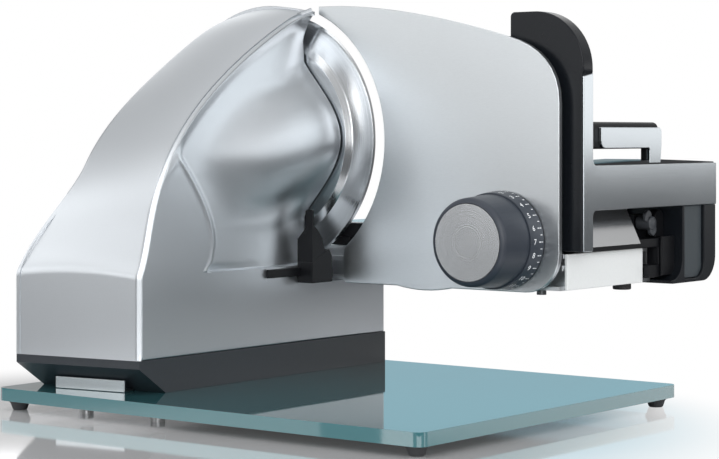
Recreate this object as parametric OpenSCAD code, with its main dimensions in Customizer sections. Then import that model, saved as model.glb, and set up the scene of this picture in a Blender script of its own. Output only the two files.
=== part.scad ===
// Electric food slicer: a cast tower with a 170 mm round blade, an adjustable stop plate,
// and a food carriage on an aluminium rail, all on a glass base.
// Machine frame: X runs along the stop plate to the operator, Y through the blade from the
// slice side to the food side, Z up. The blade axis is at X = 0 and the cutting plane at Y = 0.

/* [Base] */
// Length of the glass base along the stop plate
glass_l = 326; // [310:1:345]
// Width of the glass base across the cutting plane
glass_w = 274; // [268:1:290]
// Thickness of the glass base
glass_t = 8; // [6:0.5:10]
// Corner radius of the glass base
glass_corner_r = 6; // [3:0.5:12]
// Distance from the blade axis to the glass edge behind the tower
glass_left = 56; // [52:1:60]
// Distance from the cutting plane to the glass edge on the slice side
glass_rear = 203; // [201:1:215]
// Height of the rubber feet
foot_h = 6; // [4:0.5:10]
// Diameter of the rubber feet
foot_d = 13; // [10:1:18]
// Distance from the glass edges to the middle of a foot
foot_inset = 10; // [9:0.5:20]
// Height of the plinth under the tower
plinth_h = 21; // [19:0.5:26]
// Height of the upright band along the top of the plinth
plinth_band = 5; // [3:0.5:8]
// Depth of the undercut at the rear of the plinth
plinth_undercut = 23; // [16:1:26]
// Wall of the plinth
plinth_wall = 4; // [3:0.5:5]
// Length of the bright clamp strip behind the plinth
strip_l = 52; // [40:1:56]

/* [Tower] */
// Distance from the blade axis to the operator's side of the tower
tower_side = 46; // [45:0.5:48]
// Distance from the blade axis to the far side of the tower
tower_back = 45.5; // [44:0.5:48]
// Distance from the cutting plane to the rear of the tower
tower_rear = 182.5; // [180:0.5:186]
// Skew of the rear face, in degrees
rear_skew = 8.7; // [6:0.1:9]
// Height of the upright part of the tower above the plinth
shoulder_h = 52; // [48:0.5:56]
// Distance from the cutting plane back to the front face of the tower
front_gap = 9; // [8.5:0.5:11]
// Reach of the base block beyond the cutting plane
base_reach = 62; // [60:0.5:66]
// Height of the seat for the rail above the plinth
rail_seat_h = 39.5; // [37:0.5:43]
// Wall of the tower casting
tower_wall = 5; // [4:0.5:6]
// Gap in the parting line round the side cover
parting_gap = 0.2; // [0.1:0.05:0.4]
// Width of the tower's edge strip outside the parting line
edge_strip = 1.2; // [0.8:0.1:2]
// Outer radius of the guard round the blade
guard_r = 90; // [89:0.5:93]
// Place of the guard's upper tip, along X
horn_x = 33; // [30:0.5:36]
// Radius of the bulge over the drive gear
dome_r = 59; // [57:0.5:62]
// Width of the tower at the necks above and below the bulge
neck_x = 32; // [31:0.5:34]
// Overhang of the bulge above the upright part
shelf = 4; // [2:0.5:6]

/* [Blade and drive] */
// Radius of the blade
blade_r = 85; // [84:0.5:86]
// Height of the blade axis above the plinth
blade_h = 133; // [131:0.5:136]
// Thickness of the blade
blade_t = 2; // [1.5:0.1:2.5]
// Depth of the blade's dish behind the cutting plane
blade_dish = 4; // [3:0.5:4.5]
// Radius of the blade shaft
shaft_r = 6; // [5:0.5:7]
// Radius of the blade's centre hole
blade_bore_r = 10; // [9:0.5:12]
// Module of the drive gears
gear_module = 1.25; // [1.2:0.01:1.28]
// Teeth of the drive gear
gear_teeth = 74; // [70:1:75]
// Teeth of the motor pinion
pinion_teeth = 14; // [13:1:16]
// Width of the drive gear
gear_w = 12; // [8:1:14]
// Radius of the motor can
motor_r = 34; // [30:0.5:34]
// Length of the motor can
motor_l = 84; // [76:1:86]
// Sideways place of the motor axis
motor_x = 6; // [5:0.5:7]
// Radius of the motor shaft
motor_shaft_r = 5; // [4:0.5:6]
// Radius of the capacitor
capacitor_r = 15; // [12:1:17]
// Length of the capacitor
capacitor_l = 52; // [40:1:55]

/* [Stop plate] */
// Thickness of the stop plate
plate_t = 4; // [3:0.5:5]
// Gap between the blade edge and the stop plate
plate_gap = 7; // [6:0.5:8]
// Distance from the blade axis to the operator's edge of the stop plate
plate_reach = 229.5; // [228:0.5:234]
// Distance from the blade axis to the lower inner corner of the stop plate
plate_start = 61; // [60:0.5:64]
// Height of the stop plate's inner end above the rail seat
plate_h = 182; // [181:0.5:184]
// Lower corner radius of the stop plate
plate_corner_r = 25; // [20:1:30]
// Largest slice thickness
slice_max = 20; // [15:1:20]
// Turn of the knob for the largest slice, in degrees
knob_turn = 330; // [300:5:330]
// Place of the knob along X
knob_x = 188; // [184:0.5:190]
// Height of the knob above the rail seat
knob_h = 30.5; // [30:0.5:33]
// Radius of the knob's scale ring
knob_r = 31; // [29:0.5:32]
// Length of the knob
knob_l = 39; // [36:0.5:42]
// Width of the printed scale band
scale_w = 13; // [10:0.5:15]
// Radius of the bright disc in the knob
disc_r = 24.5; // [22:0.5:25]
// Radius of the stop plate's guide pins
pin_r = 4; // [3:0.5:4]

/* [Rail] */
// Width of the rail's box
rail_w = 92; // [88:1:94]
// Height of the rail
rail_h = 22.5; // [21.5:0.5:24]
// Distance from the cutting plane to the rail's box
rail_gap = 8; // [7.5:0.5:9]
// End of the rail on the operator's side
rail_reach = 228; // [224:1:232]
// Reach of the rail behind the blade axis
rail_back = 45; // [40:1:45]
// Wall of the rail
rail_wall = 3; // [2.5:0.25:3.5]
// Thickness of the end cap
cap_t = 2; // [1.5:0.25:3]

/* [Carriage] */
// Operator's face of the carriage
carriage_face = 241; // [239:0.5:244]
// Travel of the carriage
carriage_travel = 180; // [150:5:190]
// Distance from the cutting plane to the thumb guard
guard_gap = 5.8; // [5:0.1:6.5]
// Thickness of the thumb guard
guard_t = 11.6; // [10:0.1:12.5]
// Width of the thumb guard along X
guard_w = 54; // [50:1:60]
// Height of the thumb guard above the rail seat
guard_h = 173.5; // [168:0.5:178]
// Radius of the thumb guard's outer shoulder
guard_round = 36; // [30:1:38]
// Height of the cross bar above the rail seat
bar_h = 49.5; // [48:0.5:52]
// Height of the cross bar itself
bar_tall = 28; // [24:1:30]
// How far the carriage hood stands out past the rail
hood_reach = 76; // [72:0.5:80]
// Width of the carriage hood
hood_w = 45; // [42:0.5:48]
// Thickness of the bright trim plate
trim_t = 5; // [3:0.5:6]
// How far the trim ends below the top of the thumb guard
trim_drop = 40; // [38:0.5:50]
// Height of the finger gap under the handle
finger_gap = 10; // [9:0.5:14]
// Height of the handle
handle_h = 17; // [15:0.5:20]
// End of the handle, from the cutting plane
handle_reach = 102; // [98:1:110]
// Depth of the handle
handle_d = 26; // [22:1:30]
// Thickness of the carriage floor
floor_t = 5.7; // [4:0.1:6]
// Thickness of the steel food tray
tray_t = 2; // [1:0.25:2]

/* [Switch] */
// Radius of the two push buttons
button_r = 6; // [5:0.5:7]
// Distance between the two push buttons
button_pitch = 18; // [17:0.5:20]
// How far a button stands out of the bezel
button_out = 3.5; // [3.5:0.25:6]
// Travel of a button
button_travel = 3; // [2:0.25:3]

/* [Fits] */
// Running clearance of shafts and pins, on the radius
running = 0.05; // [0.02:0.01:0.08]
// Clearance of fixed pieces in their seats, on the radius
seat_gap = 0.03; // [0.02:0.01:0.05]
// Clearance between the rail and the sliding carriage
glide_gap = 0.3; // [0.2:0.05:0.5]
// Clearance beside pieces that are screwed or clipped in place
side_gap = 0.2; // [0.1:0.05:0.3]

/* [Hidden] */
$fn = 64;
glass_top = foot_h + glass_t;
plinth_top = glass_top + plinth_h;
shoulder_z = plinth_top + shoulder_h;
rail_z = plinth_top + rail_seat_h;
blade_z = plinth_top + blade_h;
waist_z = blade_z - 81;
front_y = -front_gap;
glass_right = glass_l - glass_left;
hood_out = rail_gap + rail_w + hood_reach;
origin_shift = [(glass_right - guard_r) / 2, (hood_out - glass_rear) / 2, 0];
through = 1;

// Tower form: the spine is one cubic curve in the YZ plane, from the shoulder to the horn.
horn_lift = 3;
horn_z = blade_z + sqrt(guard_r * guard_r - horn_x * horn_x) + horn_lift - 0.7;
spine = [[-tower_rear, shoulder_z - 1], [18.5 - tower_rear, shoulder_z + 34],
    [-9.5 - tower_rear, shoulder_z + 89], [front_y, horn_z]];
spine_steps = 18;
side_rows = 10;
strip_rows = 4;
small_fn = 24;
crown = 3;
back_edge_x = -20;
back_waist_x = -16;
lean_from = blade_z - 22;
dome_z = blade_z + 3;
front_wall_y = front_y - tower_wall;
case_r = 50;
chamber_r = 48.6;
chamber_y = -44;
cover_plane = tower_side - 8;
room_side = tower_side - tower_wall;
room_back = tower_back - tower_wall;
room_roof = blade_z + 26;

// Drive
gear_pitch_r = gear_module * gear_teeth / 2;
pinion_pitch_r = gear_module * pinion_teeth / 2;
drive_distance = gear_pitch_r + pinion_pitch_r;
motor_z = blade_z - sqrt(drive_distance * drive_distance - motor_x * motor_x);
frame_t = 5;
frame_y = chamber_y - 5;
motor_front = frame_y - frame_t;
motor_rear = motor_front - motor_l;
bearing_w = 8;
bearing_step = 3;
motor_bearing_r = motor_shaft_r + bearing_step;
rear_bearing_r = shaft_r + 5;
front_bearing_r = shaft_r + 8;
gear_back = chamber_y + 6;
gear_front = gear_back + gear_w;
case_front = front_y - 0.3;
case_back = front_wall_y;
boss_back = gear_front + 2;
flange_r = 28;
flange_t = 2.6;
blade_back = -blade_dish - blade_t;
motor_wall = 2.5;
stator_r = motor_r - motor_wall;
rotor_r = 20;
air_gap = 0.4;
core_l = 44;
core_mid = motor_front - motor_l / 2;
fan_r = 25;
fan_blades = 9;
plinth_floor = glass_top + plinth_wall;
capacitor_at = [-20, motor_front - capacitor_l - 2, plinth_floor + capacitor_r + 2];
clip_t = 2;

// Screws that hold glass, plinth and tower together
bolt_r = 2.5;
bolt_head_r = 4.5;
bolt_head_h = 3;
bolt_places = [[29, -148], [-33, -148], [29, 14], [-33, base_reach - 11]];
boss_r = 8;
boss_h = 15;

// Stop plate and knob
plate_arc_r = blade_r + plate_gap;
plate_arc_at = [3, blade_z - 1];
plate_top = rail_z + plate_h;
plate_bottom = rail_z - 1.5;
knob_z = rail_z + knob_h;
knob_back = plate_t + 0.4;
knob_front = plate_t + knob_l;
stud_r = 6;
stud_flange_r = 10;
stud_flange_t = 3;
knob_wall = 3;
knob_face = knob_front - 3;
follower_r = 3;
follower_at = 19;
follower_tip = plate_t + slice_max + 3;
cam_clear = 0.8;
cam_inner_r = follower_at - follower_r - 0.6;
cam_outer_r = follower_at + follower_r + 0.8;
cam_back = knob_face - knob_wall;
cam_start = 15;
cam_steps = 44;
pin_places = [80, plate_reach - 24.5];
pin_z = rail_z + 7.5;
pin_flange_r = 7;
pin_flange_t = 1.6;

// Rail
rail_top = rail_z + rail_h;
rail_far = rail_gap + rail_w;
rail_lip_y = rail_far + 11.5;
rail_foot_y = rail_gap - 6;
rail_ribs = [rail_gap + 30, rail_gap + 60];
rib_t = 2.5;
plate_sheet = 2.5;
lip_y = rail_far + 7.5;
lip_t = 1.5;
lip_drop = 11;
rail_bolts = [[-25, rail_gap + 17], [22, rail_gap + 17], [-25, rail_gap + 43], [22, rail_gap + 43]];
rail_bolt_r = 2;

// Carriage
floor_z = rail_top + glide_gap;
tray_z = floor_z + floor_t;
bar_z = rail_z + bar_h;
bar_top = bar_z + bar_tall;
frame_face = carriage_face - trim_t;
guard_far = guard_gap + guard_t;
guard_left = carriage_face - guard_w;
guard_foot = rail_top + 1.8;
guard_top = rail_z + guard_h;
trim_top = guard_top - trim_drop;
hood_y = hood_out - hood_w;
hood_z = rail_z - 1.5;
hood_back = 96;
hood_wall = 3;
hood_round = 20;
bar_d = 40;
bar_wall = 3;
handle_z = bar_top + finger_gap;
handle_face = frame_face + 2;
post_w = 14;
inlay_t = 2.5;
floor_from = 60;
tray_from = 40;
tray_y = 3.2;
wing_at = [rail_far + 9, tray_z + 10];
wing_r = 9.6;
wing_shank_r = 3;
block_places = [104, 205];
block_l = 27;
bracket_l = 14;

// Switch
button_z = plinth_top + 16;
button_mid = 23;
bezel_t = 1.5;
button_wall = 4;
button_flange_t = 2.5;

// Finishes, as the photograph shows them
silver = [0.72, 0.74, 0.76];
slate = [0.17, 0.2, 0.23];
steel = [0.8, 0.81, 0.82];
pale = [0.87, 0.89, 0.9];
teal = [0.45, 0.63, 0.65];
rubber = [0.12, 0.12, 0.12];
copper = [0.72, 0.45, 0.25];
knob_grey = [0.25, 0.28, 0.33];

// Helpers

function mix(a, b, k) = a + (b - a) * k;
function clamp(k) = min(max(k, 0), 1);
function smooth(k) = let (c = clamp(k)) c * c * (3 - 2 * c);
function soft_max(a, b, r) = (a + b + sqrt((a - b) * (a - b) + r * r)) / 2;
function bezier(p, k) = p[0] * pow(1 - k, 3) + p[1] * 3 * pow(1 - k, 2) * k
    + p[2] * 3 * (1 - k) * k * k + p[3] * pow(k, 3);
function bezier_way(p, k) = (p[1] - p[0]) * 3 * pow(1 - k, 2) + (p[2] - p[1]) * 6 * (1 - k) * k
    + (p[3] - p[2]) * 3 * k * k;
function unit(v) = v / norm(v);
function arc_points(centre, r, from, to, steps) =
    [for (i = [0:steps]) let (a = mix(from, to, i / steps)) centre + r * [cos(a), sin(a)]];

module placed() {
    translate(-origin_shift) children();
}

module span_box(low, high) {
    translate(low) cube(high - low);
}

// A cylinder along Y at (x, z), between two distances from the cutting plane
module rod_y(at, low, high, r) {
    translate([at[0], high, at[1]]) rotate([90, 0, 0]) cylinder(r = r, h = high - low);
}

module tube_y(at, low, high, r_out, r_in) {
    difference() {
        rod_y(at, low, high, r_out);
        rod_y(at, low - through, high + through, r_in);
    }
}

module rod_z(at, low, high, r) {
    translate([at[0], at[1], low]) cylinder(r = r, h = high - low);
}

// An outline in X and Z, carried along Y
module slab_y(low, high) {
    translate([0, high, 0]) rotate([90, 0, 0]) linear_extrude(high - low) children();
}

// An outline in Y and Z, carried along X
module slab_x(low, high) {
    translate([low, 0, 0]) rotate([90, 0, 90]) linear_extrude(high - low) children();
}

module span_square(low, high) {
    translate(low) square(high - low);
}

module rounded_square(low, high, r) {
    span_square([low[0] + r, low[1]], [high[0] - r, high[1]]);
    span_square([low[0], low[1] + r], [high[0], high[1] - r]);
    for (x = [low[0] + r, high[0] - r], y = [low[1] + r, high[1] - r])
        translate([x, y]) circle(r = r);
}

// The rear face of tower and plinth is turned a little about the operator's rear edge
module behind_rear_face(inset, low, high) {
    reach = 300;
    translate([tower_side, -tower_rear, 0]) rotate([0, 0, rear_skew])
        span_box([-reach, -reach, low], [reach, inset, high]);
}

// Glass base and feet

module glass_base() {
    color(teal, 0.8) placed() difference() {
        translate([0, 0, foot_h]) linear_extrude(glass_t)
            rounded_square([-glass_left, -glass_rear], [glass_right, glass_w - glass_rear], glass_corner_r);
        for (p = bolt_places)
            rod_z(p, foot_h - through, glass_top + through, bolt_r + 0.5);
    }
}

module rubber_feet() {
    color(rubber) placed()
        for (x = [foot_inset - glass_left, glass_right - foot_inset],
             y = [foot_inset - glass_rear, glass_w - glass_rear - foot_inset])
            rod_z([x, y], 0, foot_h, foot_d / 2);
}

// Bright strip that clamps the glass behind the plinth, parallel to the rear face
module clamp_strip() {
    strip_end = 18;
    strip_in = 10;
    strip_t = 2;
    strip_h = 7.5;
    tab_h = 1.5;
    color(steel) placed() translate([tower_side, -tower_rear, glass_top]) rotate([0, 0, rear_skew]) {
        span_box([-strip_end - strip_l, strip_in, 0], [-strip_end, strip_in + strip_t, strip_h]);
        span_box([-strip_end - strip_l, strip_in, 0], [-strip_end, plinth_undercut - 3, tab_h]);
    }
}

module base_plinth() {
    undercut_top = plinth_top - plinth_band;
    low = undercut_top - 1.1 * (undercut_top - glass_top);
    inner = [[-tower_back + plinth_wall, -136, plinth_floor],
        [tower_side - plinth_wall, base_reach - plinth_wall, plinth_top + through]];
    color(slate) placed() difference() {
        span_box([-tower_back, -tower_rear - 30, glass_top], [tower_side, base_reach, plinth_top]);
        behind_rear_face(0, glass_top - through, plinth_top + through);
        translate([tower_side, -tower_rear, 0]) rotate([0, 0, rear_skew])
            slab_x(-200, 100) polygon([[-1, undercut_top], [0, undercut_top],
                [1.1 * plinth_undercut, low], [-1, low]]);
        span_box(inner[0], inner[1]);
        for (p = bolt_places)
            rod_z(p, glass_top - through, plinth_top + through, bolt_r + running);
        translate([-tower_back - through, gland_y, gland_z]) rotate([0, 90, 0])
            cylinder(r = gland_r, h = plinth_wall + 2 * through);
    }
}

// Hex-socket bolts from under the glass, through the plinth, into the tower
module base_bolts() {
    color(steel) placed() for (p = bolt_places) {
        rod_z(p, foot_h - bolt_head_h, foot_h, bolt_head_r);
        rod_z(p, foot_h, plinth_top + boss_h - 3, bolt_r);
    }
}

gland_y = -118;
gland_z = (plinth_floor + plinth_top) / 2;
gland_r = 7;

// Bush where the mains lead enters the plinth
module cord_gland() {
    lead_r = 3.5;
    rim_t = 2;
    color(rubber) placed() translate([-tower_back, gland_y, gland_z]) rotate([0, 90, 0]) difference() {
        union() {
            translate([0, 0, -rim_t]) cylinder(r = gland_r + 1.5, h = rim_t);
            cylinder(r = gland_r - seat_gap, h = plinth_wall + 3);
        }
        translate([0, 0, -rim_t - through]) cylinder(r = lead_r, h = plinth_wall + 10);
    }
}

// Tower

// Edge of the spine on the operator's side, at height z
function crease_x(z) =
    tower_side - (tower_side - horn_x) * pow(clamp((z - lean_from) / (horn_z - lean_from)), 1.7);

// Edge of the spine on the far side, at height z
function back_x(z) = mix(-tower_back, back_waist_x, smooth((z - waist_z + 2) / 68))
    + (back_edge_x - back_waist_x) * clamp((z - lean_from) / (horn_z - lean_from));

// Outline of the operator's side at the front face: the bulge between two necks
function rim_x(z) = let (
    circle_x = sqrt(max(0, dome_r * dome_r - pow(z - dome_z, 2))),
    bulge = soft_max(circle_x, neck_x, 4))
    mix(tower_side, bulge, smooth((z - shoulder_z - 4) / 20));

// Where the bulge starts to swell out of the side, at height z
function swell_y(z) = let (apex = blade_z - 9.5, foot = shoulder_z + 21)
    z > apex ? mix(-146.5, -20, (z - apex) / (horn_z - apex))
    : -116 - 30.5 * pow(abs(z - foot) / (apex - foot), 1.5);

// Operator's side of the tower
function side_x(y, z) = let (
    from = swell_y(z),
    u = clamp((y - from) / (front_y - from)),
    swell = rim_x(z) - crease_x(z),
    rise = swell > 0 ? sin(90 * min(1, u / 0.65)) : pow(u, 4),
    ledge = shelf * smooth((y + 130) / 24) * (1 - smooth((y + 52) / 14))
        * (1 - smooth((z - shoulder_z) / 35)))
    crease_x(z) + swell * rise + (z > shoulder_z + 0.5 ? ledge : 0);

// Far side of the tower: a lean wall at the rear that flares into the guard round the blade
function back_point(y, top, k) = let (
    v = (y + tower_rear) / (front_y + tower_rear),
    low = min(shoulder_z, mix(plinth_top, top, 0.6)),
    edge = acos(back_edge_x / guard_r),
    foot = 360 - acos(-tower_back / guard_r),
    a = mix(edge, foot, k),
    lean = [mix(back_x(top), -tower_back, k), mix(top, low, k)],
    sunk = (top - blade_z - guard_r * sin(edge)) * pow(1 - k, 2) * (1 - 6 * pow(v, 5) * (1 - v)),
    ring = [guard_r * cos(a), blade_z + guard_r * sin(a) + sunk])
    mix(lean, ring, pow(v, 2.2));

// Top of the strip between the two edges; at the front it follows the guard
function strip_point(y, top, x_side, k) = let (
    v = (y + tower_rear) / (front_y + tower_rear),
    back = back_point(y, top, 0),
    x = mix(x_side, back[0], k),
    level = mix(top, back[1], k) + crown * 4 * k * (1 - k))
    [x, level];

// One cross-section of the tower, from the operator's foot over the spine to the far foot
function tower_ring(i) = let (
    s = bezier(spine, i / spine_steps),
    y = s[0],
    top = s[1],
    v = (y + tower_rear) / (front_y + tower_rear),
    turn = tan(rear_skew) * pow(1 - v, 1.5),
    low = min(shoulder_z, mix(plinth_top, top, 0.6)),
    step = min(1.5, (top - low) / (2 * side_rows)),
    side = concat([[tower_side, plinth_top], [tower_side, mix(plinth_top, low, 0.5)], [tower_side, low]],
        [for (j = [0:side_rows]) let (z = mix(low + step, top, j / side_rows)) [side_x(y, z), z]]),
    strip = [for (j = [1:strip_rows - 1]) strip_point(y, top, side_x(y, top), j / strip_rows)],
    back = [for (j = [0:side_rows]) back_point(y, top, j / side_rows)],
    foot = [[-tower_back, mix(plinth_top, low, 0.5)], [-tower_back, plinth_top]])
    [for (p = concat(side, strip, back, foot)) [p[0], y - turn * (tower_side - p[0]), p[1]]];

// The whole tower as one smooth body, before it is hollowed and parted
module tower_form() {
    rings = [for (i = [0:spine_steps]) tower_ring(i)];
    n = len(rings[0]);
    last = spine_steps * n;
    sides = [for (i = [0:spine_steps - 1], j = [0:n - 1]) let (
        a = i * n + j,
        b = i * n + (j + 1) % n)
        each [[a, b, a + n], [b, b + n, a + n]]];
    ends = [[for (j = [n - 1:-1:0]) j], [for (j = [0:n - 1]) last + j]];
    polyhedron([for (r = rings) each r], concat(sides, ends));
}

// Points of the spine, moved inwards
function inner_spine(inset) = [for (i = [0:2:spine_steps]) let (
    k = i / spine_steps,
    way = unit(bezier_way(spine, k)))
    bezier(spine, k) + inset * [way[1], -way[0]]];

// Side zone that the removable cover fills, inside the edge strip
module cover_zone(inset) {
    curve = inner_spine(inset);
    outline = concat([[-tower_rear + inset, plinth_top - through]], curve,
        [[front_y + through, horn_z - inset], [front_y + through, rail_z - inset],
         [base_reach - inset, rail_z - inset], [base_reach - inset, plinth_top - through]]);
    reach = 40;
    shift = inset - edge_strip;
    intersection() {
        slab_x(0, tower_side + reach) polygon(outline);
        slab_y(-tower_rear - reach, base_reach + reach)
            polygon([[cover_plane + shift, plinth_top - 2 * through],
                [cover_plane + shift, lean_from], [horn_x - 9 + shift, horn_z + reach],
                [tower_side + reach, horn_z + reach], [tower_side + reach, plinth_top - 2 * through]]);
    }
}

// Cross-section of the motor room in X and Z, made smaller by a gap
function room_outline(low, high, gap) = [[-room_back + gap, low], [room_side - gap, low],
    [room_side - gap, lean_from], [room_side - 8 - gap, high], [back_waist_x + 4 + gap, high],
    [back_waist_x + 4 + gap, waist_z + 78], [-room_back + 1 + gap, waist_z]];

// Hollow of the tower: motor room, gear chamber, pinion pocket and base block
module tower_room() {
    lift = 9;
    curve = [for (p = inner_spine(lift)) if (p[0] < chamber_y) p];
    intersection() {
        slab_y(-tower_rear, chamber_y) polygon(room_outline(plinth_top - 2 * through, room_roof, 0));
        slab_x(-tower_back, tower_side) polygon(concat([[-tower_rear + lift, plinth_top - through]], curve,
            [[chamber_y, room_roof + lift], [chamber_y, plinth_top - through]]));
    }
    rod_y([0, blade_z], chamber_y - 0.1, front_wall_y + 0.1, chamber_r);
    rod_y([motor_x, motor_z], chamber_y - 0.1, front_wall_y, pinion_pitch_r + 6);
    span_box([-room_back, chamber_y - 0.1, plinth_top - 2 * through],
        [room_side, base_reach - button_wall, rail_z - 8]);
}

// Base block under the rail and the guard round the blade, both cast with the tower
module tower_extras() {
    span_box([-tower_back, front_y - 2, plinth_top], [tower_side, base_reach, rail_z]);
    guard_from = acos(horn_x / guard_r) - 90;
    guard_sweep = 218;
    translate([0, front_y - 1, blade_z]) rotate([-90, 0, 0]) rotate([0, 0, -guard_from - 90 - guard_sweep])
        rotate_extrude(angle = guard_sweep)
            span_square([blade_r + 1.5, 0], [guard_r, front_gap + 0.5]);
}

module tower_bores() {
    rod_y([0, blade_z], front_wall_y, through, case_r);
    for (p = bolt_places)
        rod_z(p, plinth_top - through, plinth_top + boss_h, bolt_r + running, $fn = small_fn);
    for (p = rail_bolts)
        rod_z(p, rail_z - 14 - through, rail_z + through, rail_bolt_r + running, $fn = small_fn);
    for (a = case_screw_angles)
        rod_y(case_screw_at(a), gear_front + through, front_wall_y + through, case_screw_r + running, $fn = small_fn);
    for (x = button_xs)
        rod_y([x, button_z], base_reach - button_wall - through, base_reach + through, button_r + 0.1);
}

button_xs = [button_mid - button_pitch / 2, button_mid + button_pitch / 2];

// Bosses inside the tower for the bolts from below
module tower_bosses() {
    $fn = small_fn;
    for (p = bolt_places) hull() {
        rod_z(p, plinth_top, plinth_top + boss_h, boss_r);
        if (p[1] < 0)
            span_box([p[0] - 5, -tower_rear + 7, plinth_top], [p[0] + 5, p[1], plinth_top + boss_h]);
        else
            rod_z(p, rail_z - 8, rail_z - 7, boss_r);
    }
    for (p = rail_bolts) hull() {
        rod_z(p, rail_z - 14, rail_z - 7, 5);
        rod_z(p, rail_z - 8, rail_z - 7, 8);
    }
    for (a = case_screw_angles)
        rod_y(case_screw_at(a), gear_front + 2, front_wall_y, 6.5);
}

module tower_shell() {
    color(silver) placed() difference() {
        union() {
            difference() {
                union() {
                    tower_form();
                    tower_extras();
                }
                tower_room();
            }
            tower_bosses();
        }
        cover_zone(edge_strip);
        tower_bores();
    }
}

// Tapered stiffening ribs on the inner face of the side cover
module cover_ribs() {
    rib_h = 4;
    rib_low = plinth_top + 10;
    rib_high = shoulder_z - 14;
    face = tower_side - tower_wall;
    for (i = [0:7]) translate([0, -158 + 13 * i, 0]) hull() {
        span_box([face - 0.5, -2, rib_low], [face + 0.5, 2, rib_high]);
        span_box([face - rib_h, -1, rib_low + 4], [face + 0.5, 1, rib_high - 4]);
    }
}

module side_cover() {
    color(silver) placed() {
        cover_ribs();
        cover_body();
    }
}

module cover_body() {
    difference() {
        intersection() {
            union() {
                tower_form();
                span_box([-tower_back, front_y - 2, plinth_top], [tower_side, base_reach, rail_z]);
            }
            cover_zone(edge_strip + parting_gap);
        }
        tower_room();
        rod_y([0, blade_z], front_wall_y, through, case_r);
    }
}

// Upright plate inside the tower that carries the motor and the blade shaft's rear bearing
module gear_frame() {
    roof = blade_z + rear_bearing_r + 8;
    gap = 2 * side_gap;
    color(silver) placed() difference() {
        slab_y(frame_y - frame_t, frame_y) polygon(room_outline(plinth_floor, roof, gap));
        rod_y([motor_x, motor_z], frame_y - frame_t - through, frame_y + through, motor_bearing_r + 5);
        rod_y([0, blade_z], frame_y - frame_t - through, frame_y + through, rear_bearing_r + seat_gap);
    }
}

// Round cover in the tower's front, with the seat of the blade shaft's front bearing
module gear_case_cover() {
    color(silver) placed() difference() {
        union() {
            rod_y([0, blade_z], case_back, case_front, case_r - side_gap);
            rod_y([0, blade_z], boss_back, case_front, front_bearing_r + 4);
        }
        rod_y([0, blade_z], boss_back - through, case_front - 1, front_bearing_r + seat_gap);
        rod_y([0, blade_z], boss_back - through, through, shaft_r + 2);
        for (a = case_screw_angles)
            rod_y(case_screw_at(a), case_back - through, case_front + through, case_screw_r + running);
    }
}

case_screw_angles = [80, 170, 260];
case_screw_r = 2;
function case_screw_at(a) = [cos(a), sin(a)] * 43 + [0, blade_z];

module case_screws() {
    color(steel) placed() for (a = case_screw_angles) {
        rod_y(case_screw_at(a), case_back - 8, case_front, case_screw_r);
        rod_y(case_screw_at(a), case_front, case_front + 1.6, 3.6);
    }
}

// Motor

motor_at = [motor_x, motor_z];
blade_at = [0, blade_z];

module motor_can() {
    bell = motor_rear + 3;
    color(steel) placed() difference() {
        union() {
            tube_y(motor_at, motor_rear, motor_front - 4, motor_r, stator_r);
            rod_y(motor_at, motor_rear, bell, motor_r - 1);
            rod_y(motor_at, motor_rear, motor_rear + bearing_w + 1, motor_bearing_r + 3);
        }
        rod_y(motor_at, motor_rear + 1, motor_rear + bearing_w + 2, motor_bearing_r + seat_gap);
        rod_y(motor_at, motor_rear - through, bell + through, motor_shaft_r + 1.5);
    }
}

module motor_end_bell() {
    color(silver) placed() difference() {
        union() {
            rod_y(motor_at, motor_front - 4, motor_front, motor_r);
            rod_y(motor_at, motor_front - bearing_w - 1, motor_front, motor_bearing_r + 3);
        }
        rod_y(motor_at, motor_front - bearing_w - 2, motor_front - 1, motor_bearing_r + seat_gap);
        rod_y(motor_at, motor_front - 2, motor_front + through, motor_shaft_r + 1.5);
    }
}

module motor_stator() {
    color(steel) placed()
        tube_y(motor_at, core_mid - core_l / 2, core_mid + core_l / 2, stator_r - seat_gap, rotor_r + air_gap);
}

// End turns of the stator winding, one ring at each end of the core
module motor_windings() {
    turns_l = 13;
    color(copper) placed() {
        tube_y(motor_at, core_mid - core_l / 2 - turns_l, core_mid - core_l / 2, stator_r - 2, rotor_r + 2);
        tube_y(motor_at, core_mid + core_l / 2, core_mid + core_l / 2 + turns_l - 4, stator_r - 2, rotor_r + 2);
    }
}

module motor_rotor() {
    color(steel) placed()
        tube_y(motor_at, core_mid - core_l / 2, core_mid + core_l / 2, rotor_r, motor_shaft_r + seat_gap);
}

module motor_shaft() {
    color(steel) placed() rod_y(motor_at, motor_rear - 15, gear_front + 1, motor_shaft_r);
}

module motor_fan() {
    hub_r = 9;
    blade_thin = 1.6;
    fan_back = motor_rear - 14;
    fan_front = motor_rear - 2;
    color(slate) placed() difference() {
        union() {
            rod_y(motor_at, fan_back, fan_front, hub_r);
            rod_y(motor_at, fan_front - 1.5, fan_front, fan_r);
            translate([motor_x, 0, motor_z]) for (i = [0:fan_blades - 1]) rotate([0, 360 / fan_blades * i, 0])
                span_box([hub_r - 1, fan_back, -blade_thin / 2], [fan_r - 0.5, fan_front - 0.5, blade_thin / 2]);
        }
        rod_y(motor_at, fan_back - through, fan_front + through, motor_shaft_r + seat_gap);
    }
}

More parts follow.
